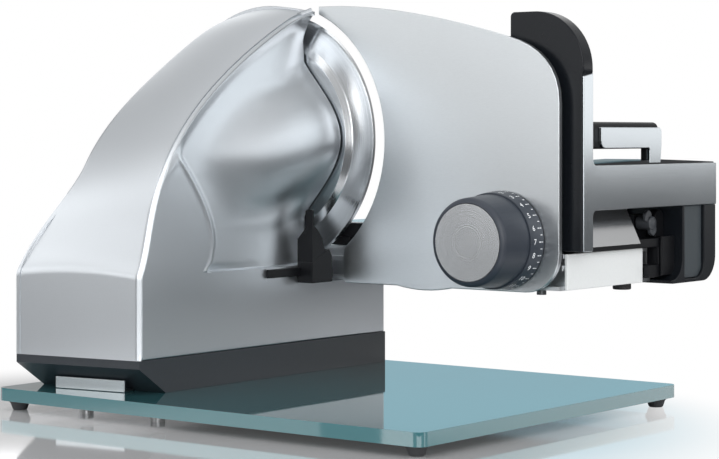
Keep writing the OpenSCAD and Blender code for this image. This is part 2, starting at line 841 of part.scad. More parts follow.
// Outline of a spur gear: each tooth has straight flanks that follow the involute at the pitch circle
function gear_outline(teeth, backlash) = let (
    pitch_r = gear_module * teeth / 2,
    step = 360 / teeth,
    add = 0.85 * gear_module,
    ded = 1.25 * gear_module,
    half = step / 4 - backlash / pitch_r * 90 / PI,
    slope = tan(20) * 180 / PI)
    [for (i = [0:teeth - 1]) let (a = i * step) each [
        (pitch_r - ded) * [cos(a - half - slope * ded / pitch_r * 0.75), sin(a - half - slope * ded / pitch_r * 0.75)],
        pitch_r * [cos(a - half), sin(a - half)],
        (pitch_r + add) * [cos(a - half + slope * add / pitch_r * 1.1), sin(a - half + slope * add / pitch_r * 1.1)],
        (pitch_r + add) * [cos(a + half - slope * add / pitch_r * 1.1), sin(a + half - slope * add / pitch_r * 1.1)],
        pitch_r * [cos(a + half), sin(a + half)],
        (pitch_r - ded) * [cos(a + half + slope * ded / pitch_r * 0.75), sin(a + half + slope * ded / pitch_r * 0.75)]]];

gear_backlash = 0.35;
// Direction from the blade axis to the motor axis, seen from the slice side
mesh_angle = atan2(motor_z - blade_z, motor_x);

module motor_pinion() {
    pinion_hub = 2;
    color(steel) placed() difference() {
        translate([motor_x, gear_front, motor_z]) rotate([90, 0, 0]) rotate([0, 0, mesh_angle + 180])
            linear_extrude(gear_w + pinion_hub) polygon(gear_outline(pinion_teeth, gear_backlash));
        rod_y(motor_at, gear_back - 10, gear_front + through, motor_shaft_r + seat_gap);
    }
}

module motor_bearings() {
    color(steel) placed() {
        tube_y(motor_at, motor_rear + 1, motor_rear + 1 + bearing_w, motor_bearing_r, motor_shaft_r + running);
        tube_y(motor_at, motor_front - 1 - bearing_w, motor_front - 1, motor_bearing_r, motor_shaft_r + running);
    }
}

// Saddle under the motor
module motor_cradle() {
    cradle_w = 44;
    cradle_l = 18;
    cradle_y = motor_rear + 8;
    color(slate) placed() difference() {
        span_box([motor_x - cradle_w / 2, cradle_y, plinth_floor],
            [motor_x + cradle_w / 2, cradle_y + cradle_l, motor_z - motor_r + 8]);
        rod_y(motor_at, cradle_y - through, cradle_y + cradle_l + through, motor_r + seat_gap);
    }
}

module capacitor() {
    color(pale) placed() rod_y([capacitor_at[0], capacitor_at[2]], capacitor_at[1],
        capacitor_at[1] + capacitor_l, capacitor_r);
}

// Bracket that clips the capacitor to the plinth floor
module capacitor_clip() {
    clip_w = 12;
    mid = capacitor_at[1] + capacitor_l / 2;
    at = [capacitor_at[0], capacitor_at[2]];
    color(steel) placed() difference() {
        union() {
            rod_y(at, mid - clip_w / 2, mid + clip_w / 2, capacitor_r + clip_t);
            span_box([at[0] - 9, mid - clip_w / 2, plinth_floor], [at[0] + 9, mid + clip_w / 2, at[1] - capacitor_r]);
        }
        rod_y(at, mid - clip_w, mid + clip_w, capacitor_r + seat_gap);
        span_box([at[0] - 9, mid - clip_w, at[1]], [at[0] + 9, mid + clip_w, at[1] + 2 * capacitor_r]);
    }
}

// Blade drive

module drive_gear() {
    web_r = gear_pitch_r - 7;
    hub_r = shaft_r + 8;
    web_t = 5;
    half_step = 180 / gear_teeth;
    color(pale) placed() difference() {
        translate([0, gear_front, blade_z]) rotate([90, 0, 0]) rotate([0, 0, mesh_angle + half_step])
            linear_extrude(gear_w) polygon(gear_outline(gear_teeth, gear_backlash));
        tube_y(blade_at, gear_back + web_t, gear_front + through, web_r, hub_r);
        rod_y(blade_at, gear_back - through, gear_front + through, shaft_r + seat_gap);
    }
}

module blade_shaft() {
    color(steel) placed() difference() {
        rod_y(blade_at, frame_y - frame_t, blade_back - flange_t, shaft_r);
        rod_y(blade_at, blade_back - 16, through, screw_r + seat_gap);
    }
}

screw_r = 3;

module blade_bearings() {
    color(steel) placed() {
        tube_y(blade_at, frame_y - frame_t, frame_y + 2, rear_bearing_r, shaft_r + running);
        tube_y(blade_at, boss_back + 0.5, case_front - 1, front_bearing_r, shaft_r + running);
    }
}

// Driving disc behind the blade, with the pilot that centres it
module blade_flange() {
    color(steel) placed() difference() {
        union() {
            rod_y(blade_at, blade_back - flange_t, blade_back, flange_r);
            rod_y(blade_at, blade_back - 0.1, -blade_dish - 0.2, blade_bore_r - seat_gap);
        }
        rod_y(blade_at, blade_back - flange_t - through, through, screw_r + seat_gap);
    }
}

// Dished blade: flat hub, stepped ring and a ground bevel that ends in the cutting plane
module blade() {
    bevel_r = blade_r - 16;
    step_r = blade_r - 20;
    edge_t = 0.25;
    section = [[blade_bore_r, -blade_dish], [step_r, -blade_dish], [bevel_r, -blade_dish / 3], [blade_r, 0],
        [blade_r, -edge_t], [bevel_r, -blade_dish / 3 - blade_t], [step_r, -blade_dish - blade_t],
        [blade_bore_r, -blade_dish - blade_t]];
    color(steel) placed() translate([0, 0, blade_z]) rotate([-90, 0, 0])
        rotate_extrude($fn = 128) polygon(section);
}

module blade_screw() {
    cap_r = 14;
    cap_top = -0.8;
    slot_w = 2.4;
    color(steel) placed() difference() {
        union() {
            rod_y(blade_at, -blade_dish, cap_top, cap_r);
            rod_y(blade_at, blade_back - 15, -blade_dish, screw_r);
        }
        span_box([-cap_r + 2, cap_top - 1.5, blade_z - slot_w / 2], [cap_r - 2, through, blade_z + slot_w / 2]);
    }
}

// Slice deflector on the tower's side

deflector_x = tower_side + side_gap;
deflector_w = 12.5;
deflector_y = -33.5;
deflector_foot = rail_z - 0.5;

module deflector_front() {
    far = deflector_x + deflector_w;
    polygon([[deflector_x, deflector_foot + 3], [deflector_x + 3, deflector_foot], [far, deflector_foot],
        [far, deflector_foot + 37], [far - 3, deflector_foot + 48], [far - 5, deflector_foot + 48],
        [deflector_x + 5, deflector_foot + 35], [deflector_x, deflector_foot + 29]]);
}

module deflector_side() {
    polygon([[deflector_y, deflector_foot], [deflector_y + 24, deflector_foot], [deflector_y + 23, deflector_foot + 16],
        [deflector_y + 13, deflector_foot + 20], [deflector_y + 13, deflector_foot + 28],
        [deflector_y + 8, deflector_foot + 38], [deflector_y + 3, deflector_foot + 48], [deflector_y, deflector_foot + 48]]);
}

module slice_deflector() {
    color(rubber) placed() intersection() {
        slab_y(deflector_y, 0) deflector_front();
        slab_x(deflector_x, deflector_x + deflector_w) deflector_side();
    }
}

// Flat bar along the tower's side that holds the deflector
module deflector_arm() {
    arm_l = 31.5;
    arm_t = 3;
    arm_h = 5.5;
    arm_z = rail_z + 4;
    color(rubber) placed() span_box([deflector_x, deflector_y - arm_l, arm_z],
        [deflector_x + arm_t, deflector_y - side_gap, arm_z + arm_h]);
}

// Switch on the food side of the base block

module switch_bezel() {
    color(slate) placed() difference() {
        slab_y(base_reach, base_reach + bezel_t)
            rounded_square([button_mid - button_pitch / 2 - 11, button_z - 11],
                [button_mid + button_pitch / 2 + 11, button_z + 11], 5);
        for (x = button_xs)
            rod_y([x, button_z], base_reach - through, base_reach + bezel_t + through, button_r + 0.3);
    }
}

switch_front = base_reach - button_wall - button_flange_t - button_travel - 0.6;

module switch_body() {
    body_d = 22;
    color(slate) placed() span_box([button_mid - button_pitch / 2 - 8.5, switch_front - body_d, plinth_floor],
        [button_mid + button_pitch / 2 + 8.5, switch_front, button_z + 5]);
}

module push_button(x) {
    placed() {
        rod_y([x, button_z], base_reach - button_wall - 0.3, base_reach + bezel_t + button_out, button_r);
        rod_y([x, button_z], base_reach - button_wall - 0.3 - button_flange_t, base_reach - button_wall - 0.3,
            button_r + 1.5);
    }
}

module hold_button() {
    color(silver) push_button(button_xs[0]);
}

module run_button() {
    color(pale) push_button(button_xs[1]);
}

// Rail

module rail_section() {
    top = rail_top - plate_sheet;
    span_square([rail_foot_y, rail_z], [rail_lip_y, rail_z + plate_sheet]);
    translate([rail_lip_y, rail_z + plate_sheet / 2]) circle(d = plate_sheet);
    span_square([rail_gap - 2, top], [lip_y + lip_t, rail_top]);
    span_square([lip_y, rail_top - lip_drop], [lip_y + lip_t, rail_top]);
    span_square([rail_gap, rail_z], [rail_gap + rail_wall, rail_top]);
    span_square([rail_far - rail_wall, rail_z], [rail_far, rail_top]);
    for (y = rail_ribs)
        span_square([y, rail_z], [y + rib_t, rail_top]);
    span_square([rail_gap - 3, rail_top - 9], [rail_gap + 1, rail_top - 7]);
    span_square([rail_gap - 3, rail_top - 10.5], [rail_gap - 1.5, rail_top - 7]);
}

module guide_rail() {
    color(silver) placed() difference() {
        slab_x(-rail_back, rail_reach - cap_t) rail_section();
        for (x = pin_places)
            rod_y([x, pin_z], rail_foot_y - through, rail_ribs[0] + rib_t + through, pin_r + running);
        rod_y([knob_x, knob_z - follower_at], rail_gap - 4, rail_gap + rail_wall + through, follower_r + seat_gap);
        for (p = rail_bolts)
            rod_z(p, rail_z - through, rail_z + plate_sheet + through, rail_bolt_r + running);
    }
}

module rail_end_cap() {
    plug_l = 8;
    low = rail_z + plate_sheet + side_gap;
    high = rail_top - plate_sheet - side_gap;
    color(pale) placed() {
        span_box([rail_reach - cap_t, rail_gap, rail_z], [rail_reach, rail_far, rail_top]);
        span_box([rail_reach - cap_t - plug_l, rail_ribs[0] + rib_t + side_gap, low],
            [rail_reach - cap_t, rail_ribs[1] - side_gap, high]);
    }
}

// Round rubber stop under the operator's end of the rail
module rail_bumper() {
    bumper_r = 6;
    bumper_h = 4.5;
    color(rubber) placed() rod_z([rail_reach - 11, rail_far - 8], rail_z - bumper_h, rail_z, bumper_r);
}

// Four bolts into the base block, and the screw under the rail's narrow foot
module rail_bolts() {
    color(steel) placed() {
        for (p = rail_bolts) {
            rod_z(p, rail_z - 13, rail_z + plate_sheet, rail_bolt_r);
            rod_z(p, rail_z + plate_sheet, rail_z + plate_sheet + 3, rail_bolt_r * 1.8);
        }
        rod_z([rail_reach - 17, rail_gap - 3], rail_z - 3, rail_z, 3);
    }
}

// Fixed pin on the rail that the knob's spiral pushes against
module cam_follower() {
    color(steel) placed() rod_y([knob_x, knob_z - follower_at], -follower_tip, rail_gap + rail_wall, follower_r);
}

// Stop plate and knob

// Outline of the plate in X and Z, before the blade's clearance is cut out of its inner edge
function plate_outline() = let (
    tip = horn_x + 7,
    right = plate_reach,
    top = [[tip, plate_top], [tip + 50, plate_top + 1], [tip + 110, plate_top - 12], [right - 38, plate_top - 24]],
    corner = [[right - 38, plate_top - 24], [right - 14, plate_top - 30], [right, plate_top - 44],
        [right, plate_top - 66]],
    tab_w = 43,
    tab_sag = 2.2,
    tab_r = (tab_w * tab_w / 4 + tab_sag * tab_sag) / (2 * tab_sag),
    tab_half = asin(tab_w / 2 / tab_r),
    tab_mid = plate_start + 66)
    concat([[plate_start, plate_bottom + 2], [plate_start + 2, plate_bottom]],
        arc_points([tab_mid, plate_bottom + tab_r - tab_sag], tab_r, 270 - tab_half, 270 + tab_half, 8),
        arc_points([right - plate_corner_r, plate_bottom + plate_corner_r], plate_corner_r, -90, 0, 10),
        [for (i = [0:8]) bezier(corner, 1 - i / 8)],
        [for (i = [1:8]) bezier(top, 1 - i / 8)],
        [[tip, blade_z + 60], [plate_start, blade_z]]);

module stop_plate() {
    color(silver) placed() difference() {
        slab_y(-plate_t, 0) polygon(plate_outline());
        rod_y(plate_arc_at, -plate_t - through, through, plate_arc_r, $fn = 128);
        rod_y([knob_x, knob_z], -plate_t - through, through, stud_r + seat_gap);
        rod_y([knob_x, knob_z - follower_at], -plate_t - through, through, follower_r + 1.5);
    }
}

// Two pins fixed behind the plate that run in the rail
module guide_pins() {
    pin_l = 62;
    color(steel) placed() for (x = pin_places) {
        rod_y([x, pin_z], 0, pin_flange_t, pin_flange_r);
        rod_y([x, pin_z], pin_flange_t, pin_l, pin_r);
    }
}

// Journal on the plate that the knob turns on
module knob_stud() {
    color(steel) placed() {
        rod_y([knob_x, knob_z], -knob_face - 0.2, -0.3, stud_r);
        rod_y([knob_x, knob_z], -plate_t - stud_flange_t, -plate_t, stud_flange_r);
    }
}

module knob_screw() {
    head_t = 1.6;
    color(steel) placed() difference() {
        rod_y([knob_x, knob_z], -knob_face - 0.2 - head_t, -knob_face - 0.2, stud_r + 3);
        span_box([knob_x - 6, -knob_front, knob_z - 0.8], [knob_x + 6, -knob_face - 1, knob_z + 0.8]);
    }
}

// A shape turned round the knob axis, given as distance from the axis and distance in front of the plane
module turned_on_knob() {
    translate([knob_x, 0, knob_z]) rotate([90, 0, 0]) rotate_extrude() children();
}

module thickness_knob() {
    step_at = knob_back + scale_w;
    barrel_r = knob_r - 2;
    round_r = 4;
    bore_r = stud_r + running;
    inner_r = cam_outer_r + side_gap;
    hub_back = plate_t + stud_flange_t + 0.4;
    neck = stud_r + 4;
    recess_r = stud_r + 4.5;
    color(knob_grey) placed() turned_on_knob()
        polygon(concat([[bore_r, hub_back], [neck, hub_back], [neck, cam_back], [inner_r, cam_back],
            [inner_r, knob_back], [barrel_r - 1.5, knob_back], [barrel_r - 1.5, step_at], [barrel_r, step_at]],
            arc_points([barrel_r - 1.5 - round_r, knob_front - round_r], round_r, 0, 90, 6),
            [[disc_r + side_gap, knob_front], [disc_r + side_gap, knob_front - 1.2], [recess_r, knob_front - 1.2],
             [recess_r, knob_face], [bore_r, knob_face]]));
}

// Skirt of the knob that carries the printed scale
module scale_ring() {
    color(knob_grey) placed() turned_on_knob()
        polygon([[knob_r - 3.5 + seat_gap, knob_back], [knob_r, knob_back], [knob_r, knob_back + 3],
            [knob_r - 1, knob_back + scale_w], [knob_r - 3.5 + seat_gap, knob_back + scale_w]]);
}

module knob_disc() {
    color(pale) placed() rod_y([knob_x, knob_z], -knob_front, -knob_front + 1.2, disc_r);
}

// Spiral ramp inside the knob; the follower stays still, so turning the knob moves the plate
function cam_lift(turn) = slice_max * clamp(turn / knob_turn);

module knob_cam() {
    turns = [for (i = [0:cam_steps]) mix(-cam_start, 360 - cam_start, i / cam_steps)];
    ring = [for (t = turns) let (
        a = -90 - t,
        face = follower_tip + cam_clear - cam_lift(t),
        way = [cos(a), sin(a)])
        each [[cam_inner_r * way[0], cam_inner_r * way[1], face],
            [cam_outer_r * way[0], cam_outer_r * way[1], face],
            [cam_outer_r * way[0], cam_outer_r * way[1], cam_back],
            [cam_inner_r * way[0], cam_inner_r * way[1], cam_back]]];
    shut = cam_steps * 4;
    walls = [for (i = [0:cam_steps - 1], j = [0:3]) let (a = i * 4 + j, b = i * 4 + (j + 1) % 4)
        each [[a, a + 4, b], [b, a + 4, b + 4]]];
    color(pale) placed() translate([knob_x, 0, knob_z]) rotate([90, 0, 0])
        polyhedron([for (i = [0:len(ring) - 5]) ring[i]], concat(
            [for (f = walls) if (max(f) < shut) f],
            [for (j = [0:3]) let (a = shut - 4 + j, b = shut - 4 + (j + 1) % 4) each [[a, j, b], [b, j, (j + 1) % 4]]]));
}

// Carriage

module carriage_floor() {
    color(slate) placed()
        span_box([floor_from, guard_far + 1.6, floor_z], [frame_face - 4, hood_y, tray_z]);
}

// Steel tray that the food lies on, with an upright back wall
module food_tray() {
    back_y = hood_y - 3;
    wall_end = frame_face - bar_d + 4;
    color(steel) placed() {
        span_box([tray_from, tray_y, tray_z], [guard_left - 1, back_y, tray_z + tray_t]);
        span_box([tray_from, back_y - tray_t, tray_z], [wall_end, back_y, bar_z - 0.5]);
    }
}

// Cross bar between thumb guard and hood: a box that is open below
module carriage_frame() {
    low = [frame_face - bar_d, guard_far + side_gap, bar_z];
    high = [frame_face, hood_out, bar_top];
    color(slate) placed() difference() {
        span_box(low, high);
        span_box([low[0] + bar_wall, low[1] + bar_wall, bar_z - through],
            [high[0] - bar_wall, hood_y - 1, bar_top - bar_wall]);
    }
}

// Shell round the food side of the rail, open at its far end
module carriage_hood() {
    pocket_w = 13;
    pocket_d = 12;
    outer = concat([[hood_y, bar_z], [hood_y, hood_z + hood_wall], [rail_lip_y + 3.5, hood_z + hood_wall],
        [rail_lip_y + 5, hood_z]],
        arc_points([hood_out - hood_round, hood_z + hood_round], hood_round, -90, 0, 10),
        [[hood_out, bar_z]]);
    color(slate) placed() difference() {
        slab_x(hood_back, frame_face) polygon(outer);
        span_box([hood_back - through, hood_y + hood_wall, hood_z + hood_round * 0.6],
            [frame_face - pocket_d - hood_wall, hood_out - hood_wall, bar_z - hood_wall]);
        span_box([frame_face - pocket_d, hood_out - hood_wall - pocket_w, hood_z + hood_round * 0.6],
            [frame_face + through, hood_out - hood_wall, bar_z - hood_wall]);
    }
}

// Bright plate on the operator's face: an upright along the guard and a wide bar
module carriage_trim() {
    fillet = 4;
    color(silver) placed() slab_x(frame_face, carriage_face) difference() {
        union() {
            span_square([guard_gap, guard_foot], [guard_far, trim_top]);
            span_square([guard_far - 1, bar_z], [hood_out, bar_top]);
            span_square([guard_far - 1, bar_z - fillet], [guard_far + fillet, bar_z + 1]);
            span_square([guard_far - 1, bar_top - 1], [guard_far + fillet, bar_top + fillet]);
        }
        translate([guard_far + fillet, bar_z - fillet]) circle(r = fillet);
        translate([guard_far + fillet, bar_top + fillet]) circle(r = fillet);
    }
}

// Black plate beside the stop plate that keeps the thumb away from the blade
module thumb_guard() {
    chamfer = 5;
    outline = concat([[guard_left, guard_foot], [frame_face, guard_foot], [frame_face, trim_top + side_gap],
        [carriage_face, trim_top + side_gap]],
        arc_points([carriage_face - guard_round, guard_top - guard_round], guard_round, 0, 90, 12),
        [[guard_left + chamfer, guard_top], [guard_left, guard_top - chamfer]]);
    color(slate) placed() slab_y(guard_gap, guard_far) polygon(outline);
}

module handle_grip() {
    grip_round = 4;
    color(slate) placed() {
        slab_y(guard_far + side_gap, handle_reach)
            rounded_square([handle_face - handle_d, handle_z], [handle_face, handle_z + handle_h], grip_round);
        span_box([handle_face - handle_d + 5, handle_reach - 2 - post_w, bar_top],
            [frame_face - 1, handle_reach - 2, handle_z + grip_round]);
    }
}

// Bright inlay on the operator's side of the handle and down its post
module handle_inlay() {
    inlay_from = guard_far + 10.6;
    inlay_top = handle_z + handle_h - 3.6;
    color(silver) placed() slab_x(handle_face, handle_face + inlay_t) union() {
        span_square([inlay_from, handle_z + 0.4], [handle_reach - 1, inlay_top]);
        span_square([handle_reach - 1 - post_w + 2, bar_top + 0.4], [handle_reach - 1, handle_z + 1]);
    }
}

// Slide blocks with a tongue in the rail's side channel
module glide_blocks() {
    low = rail_z + plate_sheet + glide_gap + 0.4;
    tongue_top = rail_top - lip_drop - glide_gap;
    color(rubber) placed() for (x = block_places) {
        span_box([x, rail_lip_y + 2, low], [x + block_l, hood_y, floor_z]);
        span_box([x, rail_far + 1, low], [x + block_l, rail_lip_y + 3, tongue_top]);
    }
}

// Bracket on the carriage floor that the wing screw turns in
module wing_bracket() {
    front = block_places[1];
    color(rubber) placed() difference() {
        span_box([front, wing_at[0] - 5, tray_z], [front + bracket_l, hood_y, wing_at[1] + 5]);
        translate([front - through, wing_at[0], wing_at[1]]) rotate([0, 90, 0])
            cylinder(r = wing_shank_r + running, h = bracket_l + 2 * through);
    }
}

// Wing screw that locks the carriage
module wing_screw() {
    hub_r = 4.5;
    hub_l = 9;
    wing_t = 3.2;
    from = block_places[1] + bracket_l + 0.4;
    color(slate) placed() translate([from, wing_at[0], wing_at[1]]) rotate([0, 90, 0]) {
        translate([0, 0, -bracket_l]) cylinder(r = wing_shank_r, h = bracket_l + 1);
        cylinder(r = hub_r, h = hub_l);
        for (side = [-1, 1])
            rotate([0, 0, 65]) rotate([90, 0, 0]) translate([0, 0, -wing_t / 2]) linear_extrude(wing_t)
                polygon([[0, 2], [side * (wing_r - 3), 1.5], [side * wing_r, 5], [side * (wing_r - 1.5), hub_l + 3],
                    [side * 4, hub_l], [0, hub_l - 1]]);
    }
}

glass_base();
rubber_feet();
clamp_strip();
base_plinth();
base_bolts();
cord_gland();
tower_shell();
side_cover();
gear_frame();
gear_case_cover();
case_screws();
motor_can();
motor_end_bell();
motor_stator();
motor_windings();
motor_rotor();
motor_shaft();
motor_fan();
motor_pinion();
motor_bearings();
motor_cradle();
capacitor();
capacitor_clip();
drive_gear();
blade_shaft();
blade_bearings();
blade_flange();
blade();
blade_screw();
slice_deflector();
deflector_arm();
switch_bezel();
switch_body();
hold_button();
run_button();
guide_rail();
rail_end_cap();
rail_bumper();
rail_bolts();
cam_follower();
stop_plate();
guide_pins();
knob_stud();
knob_screw();
thickness_knob();
scale_ring();
knob_disc();
knob_cam();
carriage_floor();
food_tray();
carriage_frame();
carriage_hood();
carriage_trim();
thumb_guard();
handle_grip();
handle_inlay();
glide_blocks();
wing_bracket();
wing_screw();
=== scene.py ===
import math

import bmesh
import bpy
import numpy as np
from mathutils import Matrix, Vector
from mathutils.geometry import delaunay_2d_cdt


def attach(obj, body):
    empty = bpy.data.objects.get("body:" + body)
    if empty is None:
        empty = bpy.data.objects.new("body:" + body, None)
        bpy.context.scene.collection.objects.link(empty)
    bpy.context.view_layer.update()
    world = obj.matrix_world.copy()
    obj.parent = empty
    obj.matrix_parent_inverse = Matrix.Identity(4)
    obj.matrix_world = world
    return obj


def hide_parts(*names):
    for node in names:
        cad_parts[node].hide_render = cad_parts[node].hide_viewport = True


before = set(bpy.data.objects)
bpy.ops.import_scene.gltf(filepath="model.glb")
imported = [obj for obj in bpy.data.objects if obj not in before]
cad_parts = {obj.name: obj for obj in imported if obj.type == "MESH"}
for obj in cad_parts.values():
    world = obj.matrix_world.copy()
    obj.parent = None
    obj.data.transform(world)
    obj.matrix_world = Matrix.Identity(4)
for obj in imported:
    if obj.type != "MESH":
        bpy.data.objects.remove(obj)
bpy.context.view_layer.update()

# Studio: a camera at the height of the blade, a pale glossy floor and a white room.
# Soft lamps stand around the machine, and three hang above it.
IMAGE_WIDTH = 719
FOCAL_PIXELS = 2104
HORIZON_ROW = 133
MIDDLE_ROW = 229.5
SENSOR_W = 36

scene = bpy.context.scene
scene.view_settings.view_transform = "Standard"


def placed(name, data):
    """A new object in the scene."""
    thing = bpy.data.objects.new(name, data)
    scene.collection.objects.link(thing)
    return thing


camera_data = bpy.data.cameras.new("camera")
camera_data.sensor_width = SENSOR_W
camera_data.lens = FOCAL_PIXELS * SENSOR_W / IMAGE_WIDTH
camera_data.shift_y = -(MIDDLE_ROW - HORIZON_ROW) / IMAGE_WIDTH
camera = placed("camera", camera_data)
camera.location = (0.8334, -1.0846, 0.172)
camera.rotation_euler = (math.radians(90), 0, math.radians(37.8))
scene.camera = camera

# The room is white to the eye. Metal mirrors a room that is grey near the floor and
# lighter above.
ROOM_FILL = 0.85
MIRRORED_LOW = 0.3
MIRRORED_HIGH = 0.66
MIRRORED_RISE = 0.55


def set_inputs(tree, node, inputs):
    """Gives each of these inputs a plain value or the output of another node."""
    for socket, value in inputs.items():
        if isinstance(value, bpy.types.NodeSocket):
            tree.links.new(value, node.inputs[socket])
        else:
            node.inputs[socket].default_value = value


def add_node(tree, kind, inputs=None, **settings):
    """A new node in a tree, with its settings and its inputs."""
    node = tree.nodes.new(kind)
    for name, setting in settings.items():
        setattr(node, name, setting)
    set_inputs(tree, node, inputs or {})
    return node


world = bpy.data.worlds.new("white_room")
scene.world = world
world.use_nodes = True
room = world.node_tree
room.nodes.clear()
room_rays = add_node(room, "ShaderNodeLightPath")
room_direction = add_node(room, "ShaderNodeTexCoord")
room_height = add_node(room, "ShaderNodeSeparateXYZ", {0: room_direction.outputs["Generated"]})
mirrored_level = add_node(room, "ShaderNodeMapRange", {
    "Value": room_height.outputs["Z"], "From Max": MIRRORED_RISE, "To Min": MIRRORED_LOW,
    "To Max": MIRRORED_HIGH}, interpolation_type="SMOOTHSTEP")
fill_or_mirrored = add_node(room, "ShaderNodeMapRange", {
    "Value": room_rays.outputs["Is Glossy Ray"], "To Min": ROOM_FILL,
    "To Max": mirrored_level.outputs["Result"]})
room_level = add_node(room, "ShaderNodeMapRange", {
    "Value": room_rays.outputs["Is Camera Ray"], "To Min": fill_or_mirrored.outputs["Result"]})
room_light = add_node(room, "ShaderNodeBackground", {
    "Color": (1, 1, 1, 1), "Strength": room_level.outputs["Result"]})
add_node(room, "ShaderNodeOutputWorld", {"Surface": room_light.outputs["Background"]})


def hang_lamp(name, place, target, size, power):
    """A soft rectangular lamp, wide and high as size says, that shines at the target."""
    lamp_data = bpy.data.lights.new(name, "AREA")
    lamp_data.shape = "RECTANGLE"
    lamp_data.size = size[0]
    lamp_data.size_y = size[1]
    lamp_data.energy = power
    lamp = placed(name, lamp_data)
    lamp.location = place
    lamp.rotation_euler = (Vector(target) - Vector(place)).to_track_quat("-Z", "Y").to_euler()
    lamp.visible_camera = False


hang_lamp("left_lamp", (-1.84, -1.20, 0.84), (0, 0, 0.4), (2.15, 1.15), 9.4)
hang_lamp("edge_lamp", (-0.68, -1.88, 0.33), (0, 0, 0.2), (0.5, 0.5), 2.2)
hang_lamp("high_lamp", (-0.5, -1.55, 1.62), (0, 0, 0.15), (0.9, 1.2), 3.4)
hang_lamp("right_lamp", (1.41, -1.56, 0.76), (0, 0, 0.76), (1.7, 1.5), 21)
hang_lamp("crease_lamp", (1.39, -0.65, 1.44), (0, 0, 0.15), (0.7, 0.7), 3)
hang_lamp("side_lamp", (2.18, 0.31, 0.9), (0, 0, 0.9), (0.4, 1.8), 5)
hang_lamp("far_lamp", (1.88, 3.53, 0.36), (0, 0, 0.36), (2.4, 0.5), 4.2)
hang_lamp("back_lamp", (-1.84, 2.37, 1.3), (0, 0, 1.0), (3.0, 1.6), 15)
hang_lamp("top_lamp", (0.0, 0.0, 1.9), (0, 0, 0.1), (1.4, 1.4), 4)

# The floor is two rings. Mirrored rays meet the near one, and further out a dark studio
# floor. To the eye the pale floor fades to white.
FLOOR_REACH = 5.0
FLOOR_HOLE = 0.002
FLOOR_JOINT = 0.34
FLOOR_LIFT = 0.05
FLOOR_NEAR = 0.2
FLOOR_FAR = 0.34
FLOOR_MIDDLE = (0.0, -0.15, 0.0)
DARK_FLOOR_Z = -0.002


def set_shader(finish, inputs):
    set_inputs(finish.node_tree, finish.node_tree.nodes["Principled BSDF"], inputs)


def new_finish(name, color, roughness, metallic=0.0):
    finish = bpy.data.materials.new(name)
    finish.use_nodes = True
    set_shader(finish, {"Base Color": (*color, 1), "Roughness": roughness, "Metallic": metallic})
    return finish


def only_mirrored(thing):
    thing.visible_camera = False
    thing.visible_diffuse = False
    thing.visible_shadow = False


def laid_ring(name, inner, outer, height):
    """A flat ring about the middle of the room."""
    steps = 64
    corners = []
    for radius in (inner, outer):
        for i in range(steps):
            a = 2 * math.pi * i / steps
            corners.append((radius * math.cos(a), radius * math.sin(a), height))
    faces = [(i, steps + i, steps + (i + 1) % steps, (i + 1) % steps) for i in range(steps)]
    mesh = bpy.data.meshes.new(name)
    mesh.from_pydata(corners, [], faces)
    ring = placed(name, mesh)
    return ring


near_floor = laid_ring("near_floor", FLOOR_HOLE, FLOOR_JOINT, 0.0)
floor = laid_ring("floor", FLOOR_JOINT, FLOOR_REACH, 0.0)
floor.visible_glossy = False
floor.visible_shadow = False
floor_finish = new_finish("pale_floor", (0.93, 0.93, 0.945), 0.06, 0.6)
floor_tree = floor_finish.node_tree
floor_rays = add_node(floor_tree, "ShaderNodeLightPath")
floor_lift = add_node(floor_tree, "ShaderNodeMath", {
    0: floor_rays.outputs["Is Camera Ray"], 1: FLOOR_LIFT}, operation="MULTIPLY")
set_shader(floor_finish, {"Emission Color": (1, 1, 1, 1), "Emission Strength": floor_lift.outputs[0]})
floor_place = add_node(floor_tree, "ShaderNodeTexCoord")
floor_offset = add_node(floor_tree, "ShaderNodeVectorMath", {
    0: floor_place.outputs["Object"], 1: FLOOR_MIDDLE}, operation="SUBTRACT")
floor_radius = add_node(floor_tree, "ShaderNodeVectorMath", {0: floor_offset.outputs[0]}, operation="LENGTH")
floor_fade = add_node(floor_tree, "ShaderNodeMapRange", {
    "Value": floor_radius.outputs["Value"], "From Min": FLOOR_NEAR, "From Max": FLOOR_FAR},
    interpolation_type="SMOOTHSTEP")
floor_seen = add_node(floor_tree, "ShaderNodeMath", {
    0: floor_fade.outputs["Result"], 1: floor_rays.outputs["Is Camera Ray"]}, operation="MULTIPLY")
floor_white = add_node(floor_tree, "ShaderNodeEmission")
floor_mixed = add_node(floor_tree, "ShaderNodeMixShader", {
    "Fac": floor_seen.outputs[0], 1: floor_tree.nodes["Principled BSDF"].outputs["BSDF"],
    2: floor_white.outputs["Emission"]})
set_inputs(floor_tree, floor_tree.nodes["Material Output"], {"Surface": floor_mixed.outputs["Shader"]})
near_floor.data.materials.append(floor_finish)
floor.data.materials.append(floor_finish)
far_floor = laid_ring("far_floor", FLOOR_JOINT, FLOOR_REACH, DARK_FLOOR_Z)
far_floor.data.materials.append(new_finish("dark_floor", (0.12, 0.125, 0.13), 0.8))
only_mirrored(far_floor)


# A low blue-green screen stands behind the table. It shows only where it is mirrored.
def stand_screen(name, bearing, distance, size, color):
    """An upright screen that faces the table; the bearing is in degrees from +X."""
    turn = math.radians(bearing)
    middle = Vector((math.cos(turn), math.sin(turn), 0)) * distance
    along = Vector((-math.sin(turn), math.cos(turn), 0)) * size[0] / 2
    rise = Vector((0, 0, size[1]))
    corners = [middle - along, middle + along, middle + along + rise, middle - along + rise]
    mesh = bpy.data.meshes.new(name)
    mesh.from_pydata(corners, [], [(0, 1, 2, 3)])
    screen = placed(name, mesh)
    finish = new_finish(name, (0, 0, 0), 0.5)
    set_shader(finish, {"Specular IOR Level": 0, "Emission Color": (*color, 1), "Emission Strength": 1})
    mesh.materials.append(finish)
    only_mirrored(screen)


